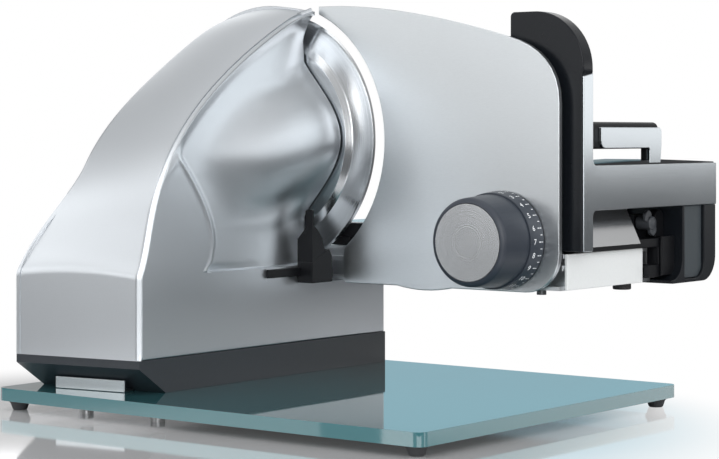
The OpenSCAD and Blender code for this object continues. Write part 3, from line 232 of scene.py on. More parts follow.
stand_screen("back_screen", 118, 1.62, (0.66, 0.62), (0.33, 0.53, 0.61))


# Glass base: one sheet of toughened safety glass, 8 mm thick, painted on its back,
# with ground edges and rounded corners. The machine stands bolted on it.
FRAME_X = 90
FRAME_Y = -13.5


def at(x, y, z):
    """A point of the machine, in millimetres from the blade axis and the table, in the frame."""
    return Vector(((x - FRAME_X) / 1000, (y - FRAME_Y) / 1000, z / 1000))


def shaded(mesh, angle=35):
    """The mesh with smooth shading up to an angle. Flat faces look flat up to their rounded edges."""
    def change(holder):
        even = holder.modifiers.new("even", "WEIGHTED_NORMAL")
        even.keep_sharp = True

    mesh.shade_smooth()
    mesh.set_sharp_from_angle(angle=math.radians(angle))
    return settled(mesh, change)


def shown(name, mesh, body, slot, replaced, *finishes):
    """Puts a finished mesh in the scene, on its body and in the place of its plain solids."""
    mesh.name = name
    mesh.materials.clear()
    for finish in finishes:
        mesh.materials.append(finish)
    thing = placed(name, mesh)
    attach(thing, body)
    if replaced:
        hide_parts(*replaced)
    return thing


def settled(data, *changes):
    """A plain mesh of a mesh or of letters, after the modifiers that the changes add to it."""
    holder = placed("holder", data)
    for change in changes:
        change(holder)
    bpy.context.view_layer.update()
    result = bpy.data.meshes.new_from_object(holder.evaluated_get(bpy.context.evaluated_depsgraph_get()))
    bpy.data.objects.remove(holder)
    return result


def rounded_edges(width, segments=3, angle=32):
    def change(holder):
        bevel = holder.modifiers.new("rounded_edges", "BEVEL")
        bevel.width = width / 1000
        bevel.segments = segments
        bevel.limit_method = "ANGLE"
        bevel.angle_limit = math.radians(angle)
        bevel.use_clamp_overlap = True
        bevel.harden_normals = True
        bevel.miter_outer = "MITER_ARC"
    return change


def solid_of(node):
    """A merged copy of a node's mesh with its flat faces whole again."""
    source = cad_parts[node].data
    mesh = bpy.data.meshes.new(node + "_copy")
    mesh.from_pydata([v.co for v in source.vertices], [], [p.vertices for p in source.polygons])
    shape = bmesh.new()
    shape.from_mesh(mesh)
    bmesh.ops.remove_doubles(shape, verts=shape.verts, dist=2e-6)
    bmesh.ops.dissolve_limit(shape, angle_limit=math.radians(0.3), verts=shape.verts, edges=shape.edges)
    shape.to_mesh(mesh)
    shape.free()
    return mesh


def softened(node, width, segments=3, angle=32):
    mesh = solid_of(node)
    mesh.shade_smooth()
    mesh.set_sharp_from_angle(angle=math.radians(angle))
    return settled(mesh, rounded_edges(width, segments, angle))


PATCH_SHARE = 0.35


def grain_group():
    """Fine tone, gloss and height changes of a surface, drawn out along one direction by Stretch."""
    group = bpy.data.node_groups.new("surface_grain", "ShaderNodeTree")
    for label, kind in (("Color", "Color"), ("Stretch", "Vector"), ("Size", "Float"), ("Tone", "Float"),
                        ("Gloss", "Float"), ("Gloss Change", "Float")):
        group.interface.new_socket(label, in_out="INPUT", socket_type="NodeSocket" + kind)
    for label, kind in (("Color", "Color"), ("Roughness", "Float"), ("Height", "Float")):
        group.interface.new_socket(label, in_out="OUTPUT", socket_type="NodeSocket" + kind)
    given = add_node(group, "NodeGroupInput").outputs
    place = add_node(group, "ShaderNodeTexCoord").outputs["Object"]
    drawn = add_node(group, "ShaderNodeVectorMath", {0: place, 1: given["Stretch"]}, operation="MULTIPLY")
    noise = add_node(group, "ShaderNodeTexNoise", {
        "Vector": drawn.outputs[0], "Scale": given["Size"], "Detail": 3.0, "Roughness": 0.6}).outputs["Fac"]
    patches = add_node(group, "ShaderNodeTexNoise", {"Vector": place, "Scale": 14.0, "Detail": 2.0})
    both = add_node(group, "ShaderNodeMath", {
        0: patches.outputs["Fac"], 1: PATCH_SHARE, 2: noise}, operation="MULTIPLY_ADD")
    centred = add_node(group, "ShaderNodeMath", {
        0: both.outputs[0], 1: (1 + PATCH_SHARE) / 2}, operation="SUBTRACT")
    lightness = add_node(group, "ShaderNodeMath", {
        0: centred.outputs[0], 1: given["Tone"], 2: 1.0}, operation="MULTIPLY_ADD")
    tinted = add_node(group, "ShaderNodeVectorMath", {
        0: given["Color"], "Scale": lightness.outputs[0]}, operation="SCALE")
    gloss = add_node(group, "ShaderNodeMath", {
        0: centred.outputs[0], 1: given["Gloss Change"], 2: given["Gloss"]}, operation="MULTIPLY_ADD")
    add_node(group, "NodeGroupOutput", {
        "Color": tinted.outputs[0], "Roughness": gloss.outputs[0], "Height": noise})
    return group


surface_grain = grain_group()


def grained(name, color, roughness, metallic=0.0, stretch=(1, 1, 1), size=900.0, tone=0.12,
            gloss_change=0.12, relief=0.05):
    """A finish with the fine grain that moulding, casting, rolling or brushing leaves."""
    finish = new_finish(name, color, roughness, metallic)
    tree = finish.node_tree
    grain = add_node(tree, "ShaderNodeGroup", {
        "Color": (*color, 1), "Stretch": stretch, "Size": size, "Tone": tone, "Gloss": roughness,
        "Gloss Change": gloss_change}, node_tree=surface_grain).outputs
    bump = add_node(tree, "ShaderNodeBump", {
        "Strength": relief, "Distance": 0.0004, "Height": grain["Height"]})
    set_shader(finish, {"Base Color": grain["Color"], "Roughness": grain["Roughness"],
                        "Normal": bump.outputs["Normal"]})
    return finish


glass_sheet = grained("painted_glass", (0.036, 0.13, 0.146), 0.03, size=60, tone=0.04, gloss_change=0.01,
                      relief=0.0)
set_shader(glass_sheet, {"Coat Weight": 1.0})
# The ground edges are pale frosted glass, with a faint painted glow: emission that stands in for the light
# the edges gather.
glass_edge_painted_glow = grained("ground_glass_edge_painted_glow", (0.78, 0.94, 0.96), 0.4, stretch=(1, 1, 6), size=400, tone=0.05)
set_shader(glass_edge_painted_glow, {"Emission Color": (0.62, 0.82, 0.86, 1), "Emission Strength": 0.22})
# The underside is a dark grey-mauve: back paint darkened as painted shade for the gap under the glass, which
# the glossy floor mirrors as a dark band.
glass_underside_painted_shade = grained("glass_back_paint_and_painted_shade", (0.14, 0.13, 0.14), 0.6, size=300, tone=0.1)
glass_mesh = softened("glass_base", 0.8)
for face in glass_mesh.polygons:
    face.material_index = 1
    if abs(face.normal.z) > 0.9:
        face.material_index = 0 if face.normal.z > 0 else 2
shown("glass_base_sheet", glass_mesh, "base", "glass", ["glass_base"], glass_sheet, glass_edge_painted_glow, glass_underside_painted_shade)


# Feet: four turned rubber buttons, narrower at the table, glued under the corners
# of the glass. One foot is drawn and set at the four corners.
FOOT_TOP_R = 6.5
FOOT_LOW_R = 4.6
FOOT_WAIST_R = 5.8
FOOT_H = 6.0
FOOT_PLACES = [(-46, -193), (260, -193), (-46, 61), (260, 61)]


def mesh_from(shape, name):
    """The mesh of a finished shape, with its faces turned outward."""
    bmesh.ops.recalc_face_normals(shape, faces=shape.faces)
    mesh = bpy.data.meshes.new(name)
    shape.to_mesh(mesh)
    shape.free()
    return mesh


def turned(profile, steps=64):
    """A closed mesh turned about Z from (radius, height) pairs that start and end on the axis."""
    shape = bmesh.new()
    rings = []
    for radius, height in profile:
        if radius < 1e-9:
            rings.append([shape.verts.new((0, 0, height))])
        else:
            angles = [2 * math.pi * i / steps for i in range(steps)]
            ring = [(radius * math.cos(a), radius * math.sin(a), height) for a in angles]
            rings.append([shape.verts.new(p) for p in ring])
    for low, high in zip(rings, rings[1:]):
        for i in range(steps):
            j = (i + 1) % steps
            corners = [low[i % len(low)], low[j % len(low)], high[j % len(high)], high[i % len(high)]]
            corners = list(dict.fromkeys(corners))
            if len(corners) > 2:
                shape.faces.new(corners)
    return mesh_from(shape, "turned")


def repeated(name, unit_mesh, finish, places, start=0.0, step=0.0):
    """Copies of a small part at the given places, set by a tree of instances.

    The first copy is turned about Y by the angle start, and each next one by a step more.
    """
    unit = bpy.data.objects.new(name + "_unit", unit_mesh)
    points = bpy.data.meshes.new(name + "_places")
    points.from_pydata(places, [], [])
    tree = bpy.data.node_groups.new(name, "GeometryNodeTree")
    inputs = {}
    for label, kind in (("Geometry", "Geometry"), ("Part", "Object"), ("Size", "Float"), ("Start", "Float"),
                        ("Step", "Float")):
        socket = tree.interface.new_socket(label, in_out="INPUT", socket_type="NodeSocket" + kind)
        inputs[label] = socket.identifier
    tree.interface.new_socket("Geometry", in_out="OUTPUT", socket_type="NodeSocketGeometry")
    given = add_node(tree, "NodeGroupInput").outputs
    part = add_node(tree, "GeometryNodeObjectInfo", {"Object": given["Part"]})
    number = add_node(tree, "GeometryNodeInputIndex")
    turn = add_node(tree, "ShaderNodeMath", {
        0: number.outputs["Index"], 1: given["Step"], 2: given["Start"]}, operation="MULTIPLY_ADD")
    about_y = add_node(tree, "ShaderNodeCombineXYZ", {"Y": turn.outputs[0]})
    on_points = add_node(tree, "GeometryNodeInstanceOnPoints", {
        "Points": given["Geometry"], "Instance": part.outputs["Geometry"],
        "Rotation": about_y.outputs["Vector"], "Scale": given["Size"]})
    real = add_node(tree, "GeometryNodeRealizeInstances", {"Geometry": on_points.outputs["Instances"]})
    dressed = add_node(tree, "GeometryNodeSetMaterial", {
        "Geometry": real.outputs["Geometry"], "Material": finish})
    add_node(tree, "NodeGroupOutput", {"Geometry": dressed.outputs["Geometry"]})

    def change(holder):
        scatter = holder.modifiers.new(name, "NODES")
        scatter.node_group = tree
        scatter[inputs["Part"]] = unit
        scatter[inputs["Size"]] = 1.0
        scatter[inputs["Start"]] = start
        scatter[inputs["Step"]] = step

    mesh = settled(points, change)
    bpy.data.objects.remove(unit)
    return mesh


foot_rubber = grained("foot_rubber", (0.035, 0.037, 0.04), 0.75, size=700, tone=0.3, relief=0.15)
foot_profile = [(0, 0), (FOOT_LOW_R - 0.6, 0), (FOOT_LOW_R, 0.7), (FOOT_WAIST_R, 4.2), (FOOT_TOP_R, 4.8),
                (FOOT_TOP_R, FOOT_H), (0, FOOT_H)]
foot_unit = turned([(r / 1000, z / 1000) for r, z in foot_profile], 40)
foot_mesh = repeated("feet", foot_unit, foot_rubber, [at(x, y, 0) for x, y in FOOT_PLACES])
shown("feet", shaded(foot_mesh, 40), "base", "rubber", ["rubber_feet"], foot_rubber)


# Clamp strip: a bent strip of bright steel under the rear of the plinth. It holds
# the glass against the plinth.
def shown_soft(name, node, width, body, slot, finish, segments=3):
    """Shows one plain solid under a new name, with rounded edges."""
    shown(name, softened(node, width, segments), body, slot, [node], finish)


bright_steel = grained("bright_steel", (0.42, 0.46, 0.48), 0.3, 1.0, stretch=(1, 1, 14), size=700, tone=0.06,
                       relief=0.02)
shown_soft("clamp_strip_bent", "clamp_strip", 0.5, "base", "polished_steel", bright_steel)


# Plinth: a dark slate-painted casting with an upright band along its top and an
# undercut rear, bolted between glass and tower.
slate_paint = grained("slate_paint", (0.022, 0.027, 0.033), 0.33, size=420, tone=0.35, relief=0.06)
shown_soft("plinth", "base_plinth", 0.9, "base", "slate_paint", slate_paint)


# Tower: a thin silver-painted casting. Its side leans into a round bulge around
# the blade, its spine sweeps up from the flat rear face to a horn over the blade.
SIDE = 46.0
BACK = 45.5
REAR = 182.5
FOOT = 35.0
SHOULDER = 87.0
FRONT = -9.0
REACH = 62.0
SEAT = 74.5
BLADE_Z = 168.0
GUARD_R = 90.0
HORN_X = 33.0
HORN_Z = 254.03
LEAN_FROM = 146.0
DOME_X = 62.8
DOME_REACH = 52.0
DOME_POWER = 0.6
DOME_FLAT = 0.45
DOME_SINK = 9.0
DOME_NEAR = 0.35
RISE_FROM = 0.06
RISE_SPAN = 0.9
SWELL_START = -146.5
SWELL_FOOT = -116.0
SWELL_TOP = -20.0
NECK_X = 32.0
HORN_FLARE = 9.5
HORN_FROM = 231.0
HORN_RISE = 26.0
BACK_EDGE_X = -20.0
BACK_WAIST_X = -16.0
WAIST_FROM = SHOULDER - 2
WAIST_RISE = 68.0
CROWN = 3.0
CROWN_FROM = 60.0
CROWN_RISE = 26.0
SHELF_Z = 85.2
LEDGE_H = 1.0
SKEW = math.tan(math.radians(8.7))
SPINE = [(-182.5, 86.0), (-164.0, 121.0), (-192.0, 176.0), (-9.0, HORN_Z)]
WALL = 3.0
CHAMFER_LOW = 2.3
CHAMFER_HIGH = 1.5
CHAMFER_FROM = 110.0
CHAMFER_RISE = 80.0
PARTING = 0.16


def limited(v):
    return min(1.0, max(0.0, v))


def mix(a, b, k):
    return a + (b - a) * k


def smooth(v):
    v = limited(v)
    return v * v * (3 - 2 * v)


def bezier(points, t):
    s = 1 - t
    weights = (s * s * s, 3 * s * s * t, 3 * s * t * t, t * t * t)
    return tuple(sum(w * p[i] for w, p in zip(weights, points)) for i in range(len(points[0])))


def crease_x(z):
    return SIDE - (SIDE - HORN_X) * limited((z - LEAN_FROM) / (HORN_Z - LEAN_FROM)) ** 1.7


def back_x(z):
    waist = mix(-BACK, BACK_WAIST_X, smooth((z - WAIST_FROM) / WAIST_RISE))
    return waist + (BACK_EDGE_X - BACK_WAIST_X) * limited((z - LEAN_FROM) / (HORN_Z - LEAN_FROM))


def soft_most(a, b, r):
    """The larger of two values, with the change from one to the other rounded."""
    return (a + b + math.sqrt((a - b) ** 2 + r * r)) / 2


def rim_x(z, power=DOME_POWER, sink=0.0):
    away = limited(abs(z - BLADE_Z + sink) / DOME_REACH)
    bulge = (0.5 + 0.5 * math.cos(math.pi * away)) ** power
    flare = HORN_FLARE * smooth((z - HORN_FROM) / HORN_RISE)
    return mix(SIDE, mix(NECK_X, DOME_X, bulge) + flare, smooth((z - SHELF_Z) / LEDGE_H))


def swell_y(z):
    """Where the bulge starts to rise out of the side."""
    apex = BLADE_Z - 9.5
    foot = SHOULDER + 21
    upper = mix(SWELL_START, SWELL_TOP, (z - apex) / (HORN_Z - apex))
    lower = mix(SWELL_FOOT, SWELL_START, (abs(z - foot) / (apex - foot)) ** 1.5)
    return soft_most(upper, lower, 16)


# The field around the bulge lies a little deeper than the plain side. Its edge rises
# from the ledge to a point near the spine, and from there it runs up along the spine.
FIELD_EDGE = [(-147.0, 157.0), (-128.0, 134.0), (-110.0, 112.0), (-119.0, 91.0)]
FIELD_CORNER = (-164.5, 140.0)
FIELD_RISE = (-17 / 24.4, 17.5 / 24.4)
FIELD_BEND = 100.0
FIELD_LEAN = 0.82
FIELD_LOW_DEPTH = 2.9
FIELD_HIGH_DEPTH = 2.3
FIELD_SLOPE_W = 5.0
FIELD_FADE = 60.0
GULLY = 1.2
BEAD_H = 0.5
BEAD_W = 1.5
field_points = [bezier(FIELD_EDGE, i / 30) for i in range(31)]
field_points += [(-121.0, 88.6), (-122.6, 87.2), (-123.0, SHELF_Z + 0.4)]
field_heights = [p[1] for p in reversed(field_points)]
field_places = [p[0] for p in reversed(field_points)]


def spine_point(t):
    return bezier(SPINE, t)


def sunk(y, z, spine_gap):
    """Depth of the field around the bulge below the plain side."""
    leg = y - float(np.interp(z, field_heights, field_places))
    right = leg * FIELD_LEAN if z > FIELD_BEND else leg
    left = (y - FIELD_CORNER[0]) * FIELD_RISE[0] + (z - FIELD_CORNER[1]) * FIELD_RISE[1]
    inward = soft_most(right, left, 2) - 0.5
    depth = mix(FIELD_LOW_DEPTH, FIELD_HIGH_DEPTH, smooth((z - 90) / 50))
    depth += GULLY * (1 - smooth((z - SHELF_Z - LEDGE_H) / 5))
    fade = 1 - smooth((y - swell_y(z) - 10) / FIELD_FADE)
    ledge = smooth((z - SHELF_Z) / LEDGE_H)
    bead = BEAD_H * math.exp(-((inward + 0.3) / BEAD_W) ** 2)
    return (depth * smooth(inward / FIELD_SLOPE_W) - bead) * smooth(spine_gap / 9) * fade * ledge


def side_x(y, z, spine_gap=20.0):
    """The operator's side of the tower, with the bulge and the sunk field."""
    if y > FRONT and z < SHELF_Z:
        return SIDE
    start = swell_y(z)
    u = limited((y - start) / (FRONT - start))
    near = smooth((u - DOME_NEAR) / (1 - DOME_NEAR))
    swell = rim_x(z, mix(DOME_FLAT, DOME_POWER, near), mix(DOME_SINK, 0, near)) - crease_x(z)
    rise = mix(u ** 4, smooth((u - RISE_FROM) / RISE_SPAN), smooth((swell + 8) / 16))
    return crease_x(z) + swell * rise - sunk(y, z, spine_gap)


def back_point(y, top, k):
    """A point of the far side, from the strip's far edge at k = 0 down to the shoulder at k = 1."""
    v = (y + REAR) / (FRONT + REAR)
    low = min(SHOULDER, mix(FOOT, top, 0.6))
    edge = math.acos(BACK_EDGE_X / GUARD_R)
    foot = 2 * math.pi - math.acos(-BACK / GUARD_R)
    a = mix(edge, foot, k)
    lean = (mix(back_x(top), -BACK, k), mix(top, low, k))
    raised = (top - BLADE_Z - GUARD_R * math.sin(edge)) * (1 - k) ** 2 * (1 - 6 * v ** 5 * (1 - v))
    ring = (GUARD_R * math.cos(a), BLADE_Z + GUARD_R * math.sin(a) + raised)
    share = max(0.0, v) ** 2.2
    return mix(lean[0], ring[0], share), mix(lean[1], ring[1], share)


def turn_back(x, y):
    """The rear face stands askew: points further from the operator's edge lie further back."""
    v = limited((y + REAR) / (FRONT + REAR))
    return y - SKEW * (1 - v) ** 1.5 * (SIDE - x)


def strip_place(y, z, k):
    far = back_point(y, z, 0) if z > 83.6 else (-BACK, z)
    x = mix(crease_x(z), far[0], k)
    crown = CROWN * smooth((z - CROWN_FROM) / CROWN_RISE) * 4 * k * (1 - k)
    return Vector((x, turn_back(x, y), mix(z, far[1], k) + crown))


BACK_ROWS = 22
FOOT_ROWS = 9
KINK_Z = 83.5
KINK_SHARE = 0.022


def back_line(y, top):
    """The far side of the tower at one place of the spine, from the strip's far edge to the plinth."""
    low = min(SHOULDER, mix(FOOT, top, 0.6))
    line = [back_point(y, top, i / BACK_ROWS) for i in range(BACK_ROWS + 1)]
    line += [(-BACK, mix(low, FOOT, i / FOOT_ROWS)) for i in range(1, FOOT_ROWS + 1)]
    return [Vector((x, turn_back(x, y), z)) for x, z in line]


rear_low = mix(FOOT, KINK_Z, 0.6)
rear_heights = [mix(KINK_Z, rear_low, i / BACK_ROWS) for i in range(BACK_ROWS + 1)]
rear_heights += [mix(rear_low, FOOT, i / FOOT_ROWS) for i in range(1, FOOT_ROWS + 1)]
edge_path = [(-REAR, z) for z in reversed(rear_heights)]
KINK_START = len(edge_path) - 1
kink_end = spine_point(KINK_SHARE)
for i in range(1, 6):
    k = i / 5
    edge_path.append((mix(-REAR, mix(-REAR, kink_end[0], k), k),
                      mix(mix(KINK_Z, SPINE[0][1], k), mix(SPINE[0][1], kink_end[1], k), k)))
SPINE_STEPS = 110
for i in range(1, SPINE_STEPS + 1):
    edge_path.append(spine_point(mix(KINK_SHARE, 1.0, i / SPINE_STEPS)))


def path_normals(path, closed=False):
    """Unit normals of a flat path, to the right of its direction, mitred at its points."""
    count = len(path)
    result = []
    for i in range(count):
        if closed:
            before, after = path[i - 1], path[(i + 1) % count]
        else:
            before, after = path[max(i - 1, 0)], path[min(i + 1, count - 1)]
        here = np.array(path[i])
        first = here - np.array(before)
        second = np.array(after) - here
        first = first / (np.linalg.norm(first) or 1)
        second = second / (np.linalg.norm(second) or 1)
        along = first + second
        along = along / np.linalg.norm(along)
        cosine = max(0.5, float(along @ (second if np.linalg.norm(second) > 0 else first)))
        result.append(np.array((along[1], -along[0])) / cosine)
    return result


edge_normals = path_normals(edge_path)


def chamfer_leg(z):
    return mix(CHAMFER_LOW, CHAMFER_HIGH, smooth((z - CHAMFER_FROM) / CHAMFER_RISE))


def sheeted(shape, rows):
    """Faces between each row of corners and the next."""
    for first, second in zip(rows, rows[1:]):
        for i in range(len(first) - 1):
            shape.faces.new((first[i], second[i], second[i + 1], first[i + 1]))


STRIP_COLUMNS = 26
BROW_END = 1.55
shell = bmesh.new()
strip_rows = []
panel_edge = []
for (y, z), normal in zip(edge_path, edge_normals):
    leg = chamfer_leg(z)
    width = (strip_place(y, z, 1) - strip_place(y, z, 0)).length
    cut = leg / width
    inner = Vector((0, normal[0], normal[1]))
    lip_y = y + inner.y * (leg - PARTING)
    lip_z = z + inner.z * (leg - PARTING)
    lip = Vector((side_x(lip_y, lip_z, leg), lip_y, lip_z))
    panel_edge.append((y + inner.y * leg, z + inner.z * leg))
    brow = strip_place(y, z, cut)
    after_brow = strip_place(y, z, BROW_END * cut)
    before_brow = lip.lerp(brow, 0.72)
    row = [lip + Vector((-2.4, 0, 0)), lip + Vector((-0.25, 0, 0))]
    row += [lip.lerp(brow, 0.06), lip.lerp(brow, 0.4)]
    for i in range(6):
        k = i / 5
        row.append(before_brow.lerp(brow, k).lerp(brow.lerp(after_brow, k), k))
    for i in range(1, STRIP_COLUMNS + 1):
        row.append(strip_place(y, z, mix(BROW_END * cut, 1, i / STRIP_COLUMNS)))
    strip_rows.append([shell.verts.new(at(*p)) for p in row])
sheeted(shell, strip_rows)
back_rows = [[row[-1] for row in reversed(strip_rows[:KINK_START + 1])]]
for (y, z), row in zip(edge_path[KINK_START + 1:], strip_rows[KINK_START + 1:]):
    back_rows.append([row[-1]] + [shell.verts.new(at(*p)) for p in back_line(y, z)[1:]])
sheeted(shell, back_rows)
shell_mesh = bpy.data.meshes.new("tower_skin")
shell.normal_update()
shell.to_mesh(shell_mesh)
shell.free()


def walled(thickness):
    def change(holder):
        wall = holder.modifiers.new("wall", "SOLIDIFY")
        wall.thickness = thickness / 1000
        wall.offset = -1
        wall.use_even_offset = False
        wall.use_rim = True
    return change


def joined(*meshes):
    """One mesh of several closed shapes."""
    whole = bmesh.new()
    for mesh in meshes:
        whole.from_mesh(mesh)
    result = bpy.data.meshes.new("joined")
    whole.to_mesh(result)
    whole.free()
    return result


BOX_FACES = [(0, 1, 3, 2), (4, 6, 7, 5), (0, 4, 5, 1), (2, 3, 7, 6), (0, 2, 6, 4), (1, 5, 7, 3)]


def block(low, high):
    """A closed box between two corners of the machine."""
    shape = bmesh.new()
    corners = [shape.verts.new(at(x, y, z)) for x in (low[0], high[0]) for y in (low[1], high[1])
               for z in (low[2], high[2])]
    for face in BOX_FACES:
        shape.faces.new([corners[i] for i in face])
    return mesh_from(shape, "block")


def soft_block(low, high, width):
    return settled(block(low, high), rounded_edges(width))


def front_wall():
    """The flat front of the tower, with the round mouth of the gear case."""
    mouth_r = 50.1
    outline = [(rim_x(z) - 3.2, z) for z in np.linspace(SEAT, HORN_Z - 3, 70)]
    outline += [(p.x, p.z - 0.4) for p in (strip_place(FRONT, HORN_Z, k) for k in np.linspace(0.1, 1, 12))]
    outline += [(p.x + 0.3, p.z) for p in back_line(FRONT, HORN_Z)[1:] if p.z > SEAT + 0.5]
    outline.append((-BACK + 0.3, SEAT))
    shape = bmesh.new()
    rings = []
    for points in (outline, [(mouth_r * math.cos(a), BLADE_Z + mouth_r * math.sin(a))
                             for a in np.linspace(0, 2 * math.pi, 97)[:-1]]):
        verts = [shape.verts.new(at(x, FRONT, z)) for x, z in points]
        rings += [shape.edges.new((verts[i], verts[(i + 1) % len(verts)])) for i in range(len(verts))]
    filled = bmesh.ops.triangle_fill(shape, use_beauty=True, edges=rings)
    faces = [f for f in filled["geom"] if isinstance(f, bmesh.types.BMFace)]
    pushed = bmesh.ops.extrude_face_region(shape, geom=faces)
    for vert in (v for v in pushed["geom"] if isinstance(v, bmesh.types.BMVert)):
        vert.co.y -= 0.003
    return mesh_from(shape, "front_wall")


def bridged(shape, rings):
    """Faces between each closed ring of corners and the next."""
    for first, second in zip(rings, rings[1:]):
        for i in range(len(first)):
            j = (i + 1) % len(first)
            shape.faces.new((first[i], first[j], second[j], second[i]))


def guard_ring():
    """The rim that shields the blade, from the horn over the top and down the far side."""
    inner_r = 86.5
    section = [(inner_r, -9.6), (inner_r, -1.1), (87.1, -0.5), (89.4, -0.5), (GUARD_R, -1.1),
               (GUARD_R, -9.6), (89.6, -10), (86.9, -10)]
    start = 75
    sweep = 212
    steps = 150
    shape = bmesh.new()
    rings = []
    for i in range(steps + 1):
        a = math.radians(start + sweep * i / steps)
        places = [at(r * math.cos(a), y, BLADE_Z + r * math.sin(a)) for r, y in section]
        rings.append([shape.verts.new(p) for p in places])
    bridged(shape, rings)
    shape.faces.new(rings[0])
    shape.faces.new(list(reversed(rings[-1])))
    return mesh_from(shape, "guard_ring")


silver_casting = grained("silver_casting", (0.6, 0.63, 0.66), 0.38, 1.0, size=1500, tone=0.08,
                         gloss_change=0.1, relief=0.03)
base_block = soft_block((-BACK, -11.5, FOOT), (SIDE - 3.2, REACH, SEAT), 0.8)
tower_mesh = joined(settled(shell_mesh, walled(WALL)), base_block, front_wall(), guard_ring())
shown("tower_casting", shaded(tower_mesh, 40), "base", "cast_silver", ["tower_shell"], silver_casting)


# Side panel: the operator's side of the tower, a second casting let into the first.
# A fine parting line runs along the spine. Its edges are slightly rounded.
PANEL_T = 2.6
EDGE_R = 0.9
RIM_R = 2.6
RIM_Y = -7.3
GRID = 1.5
PANEL_REACH = REACH - 1.2
PANEL_SEAT = SEAT - 1.2
PANEL_FOOT = FOOT + PARTING

ledge_rows = [SHELF_Z + LEDGE_H * k for k in (1.2, 1.0, 0.8, 0.6, 0.4, 0.2, 0.0, -0.3)]
front_line = [(RIM_Y, z) for z in np.linspace(panel_edge[-1][1] - 1.5, SHELF_Z + 2.2, 90)]
front_line += [(RIM_Y, z) for z in ledge_rows]
panel_loop = [(y, max(z, PANEL_FOOT)) for y, z in panel_edge if y < FRONT - 0.4]
panel_loop += front_line
panel_loop += [(RIM_Y, PANEL_SEAT)]
panel_loop += [(y, PANEL_SEAT) for y in np.linspace(-4, 56, 13)]
panel_loop += [(PANEL_REACH, PANEL_SEAT), (PANEL_REACH, 55.0), (PANEL_REACH, PANEL_FOOT)]
panel_loop += [(y, PANEL_FOOT) for y in np.linspace(56, -176, 50)]
spine_line = np.array([(-REAR, FOOT)] + [spine_point(i / 120) for i in range(121)])


def inset_loop(loop, depth):
    normals = path_normals(loop, closed=True)
    return [(p[0] + n[0] * depth, p[1] + n[1] * depth) for p, n in zip(loop, normals)]


def distance_to_line(points, line):
    """The shortest distance of each point to an open line of points."""
    best = np.full(len(points), 1e9)
    for a, b in zip(line, line[1:]):
        along = b - a
        k = np.clip(((points - a) @ along) / (along @ along), 0, 1)
        best = np.minimum(best, np.linalg.norm(points - (a + k[:, None] * along), axis=1))
    return best


def inside(points, loop):
    """Which of the points lie inside a closed loop."""
    result = np.zeros(len(points), bool)
    for (y0, z0), (y1, z1) in zip(loop, loop[1:] + loop[:1]):
        if z0 == z1:
            continue
        crosses = (z0 > points[:, 1]) != (z1 > points[:, 1])
        result ^= crosses & (points[:, 0] < (y1 - y0) * (points[:, 1] - z0) / (z1 - z0) + y0)
    return result


def along_field_edge(offset):
    normals = path_normals(field_points)
    return [(p[0] - n[0] * offset, p[1] - n[1] * offset) for p, n in zip(field_points, normals)]


def rounding(gap, radius):
    """How far a rounded edge falls at a distance from its border."""
    if gap >= radius:
        return 0.0
    return radius - math.sqrt(max(0.0, radius ** 2 - (radius - max(gap, 0.0)) ** 2))


def side_panel():
    depths = [0.0, 0.1, 0.28, 0.55, EDGE_R]
    points = []
    edges = []
    for depth in depths:
        first = len(points)
        loop = inset_loop(panel_loop, depth)
        points += loop
        edges += [(first + i, first + (i + 1) % len(loop)) for i in range(len(loop))]
    kept_clear = []
    lines = [along_field_edge(-FIELD_SLOPE_W * k) for k in (-0.4, -0.2, 0.0, 0.2, 0.4, 0.7)]
    lines += [[(y, z) for y in np.linspace(-128, RIM_Y - EDGE_R - 0.4, 80)] for z in ledge_rows]
    rim_rows = np.linspace(SHELF_Z + 2.5, panel_edge[-1][1] - 4, 110)
    lines += [[(RIM_Y - RIM_R * k, z) for z in rim_rows] for k in (0.5, 0.75, 1.0)]
    for line in lines:
        first = len(points)
        points += line
        edges += [(first + i, first + i + 1) for i in range(len(line) - 1)]
        kept_clear.append(np.array(line))
    rows = np.arange(FOOT, HORN_Z, GRID)
    grid = np.array([(y + (i % 2) * GRID / 2, z) for i, z in enumerate(rows)
                     for y in np.arange(-REAR, REACH, GRID * 1.1)])
    border = np.array(panel_loop + panel_loop[:1])
    keep = inside(grid, panel_loop) & (distance_to_line(grid, border) > EDGE_R + 0.7)
    for line in kept_clear:
        keep &= distance_to_line(grid, line) > 0.6
    points += [tuple(p) for p in grid[keep]]
    made = delaunay_2d_cdt([Vector(p) for p in points], edges, [list(range(len(panel_loop)))], 1, 1e-5)
    flat = np.array([(p.x, p.y) for p in made[0]])
    border_gap = distance_to_line(flat, border)
    spine_gap = distance_to_line(flat, spine_line)
    shape = bmesh.new()
    outer = []
    inner = []
    for (y, z), gap, from_spine in zip(flat, border_gap, spine_gap):
        fall = rounding(gap, EDGE_R)
        if z > SHELF_Z + LEDGE_H:
            fall = max(fall, rounding(RIM_Y - y, RIM_R))
        x = side_x(y, z, from_spine)
        outer.append(shape.verts.new(at(x - fall, y, z)))
        inner.append(shape.verts.new(at(min(x - PANEL_T, x - fall - 0.8), y, z)))
    used = {}
    for face in made[2]:
        shape.faces.new([outer[i] for i in face])
        shape.faces.new([inner[i] for i in reversed(face)])
        for a, b in zip(face, face[1:] + face[:1]):
            used[(a, b)] = True
    for a, b in used:
        if (b, a) not in used:
            shape.faces.new((outer[b], outer[a], inner[a], inner[b]))
    bmesh.ops.delete(shape, geom=[v for v in shape.verts if not v.link_faces], context="VERTS")
    return mesh_from(shape, "side_panel")


shown("tower_side_panel", shaded(side_panel(), 48), "base", "cast_silver", ["side_cover"], silver_casting)


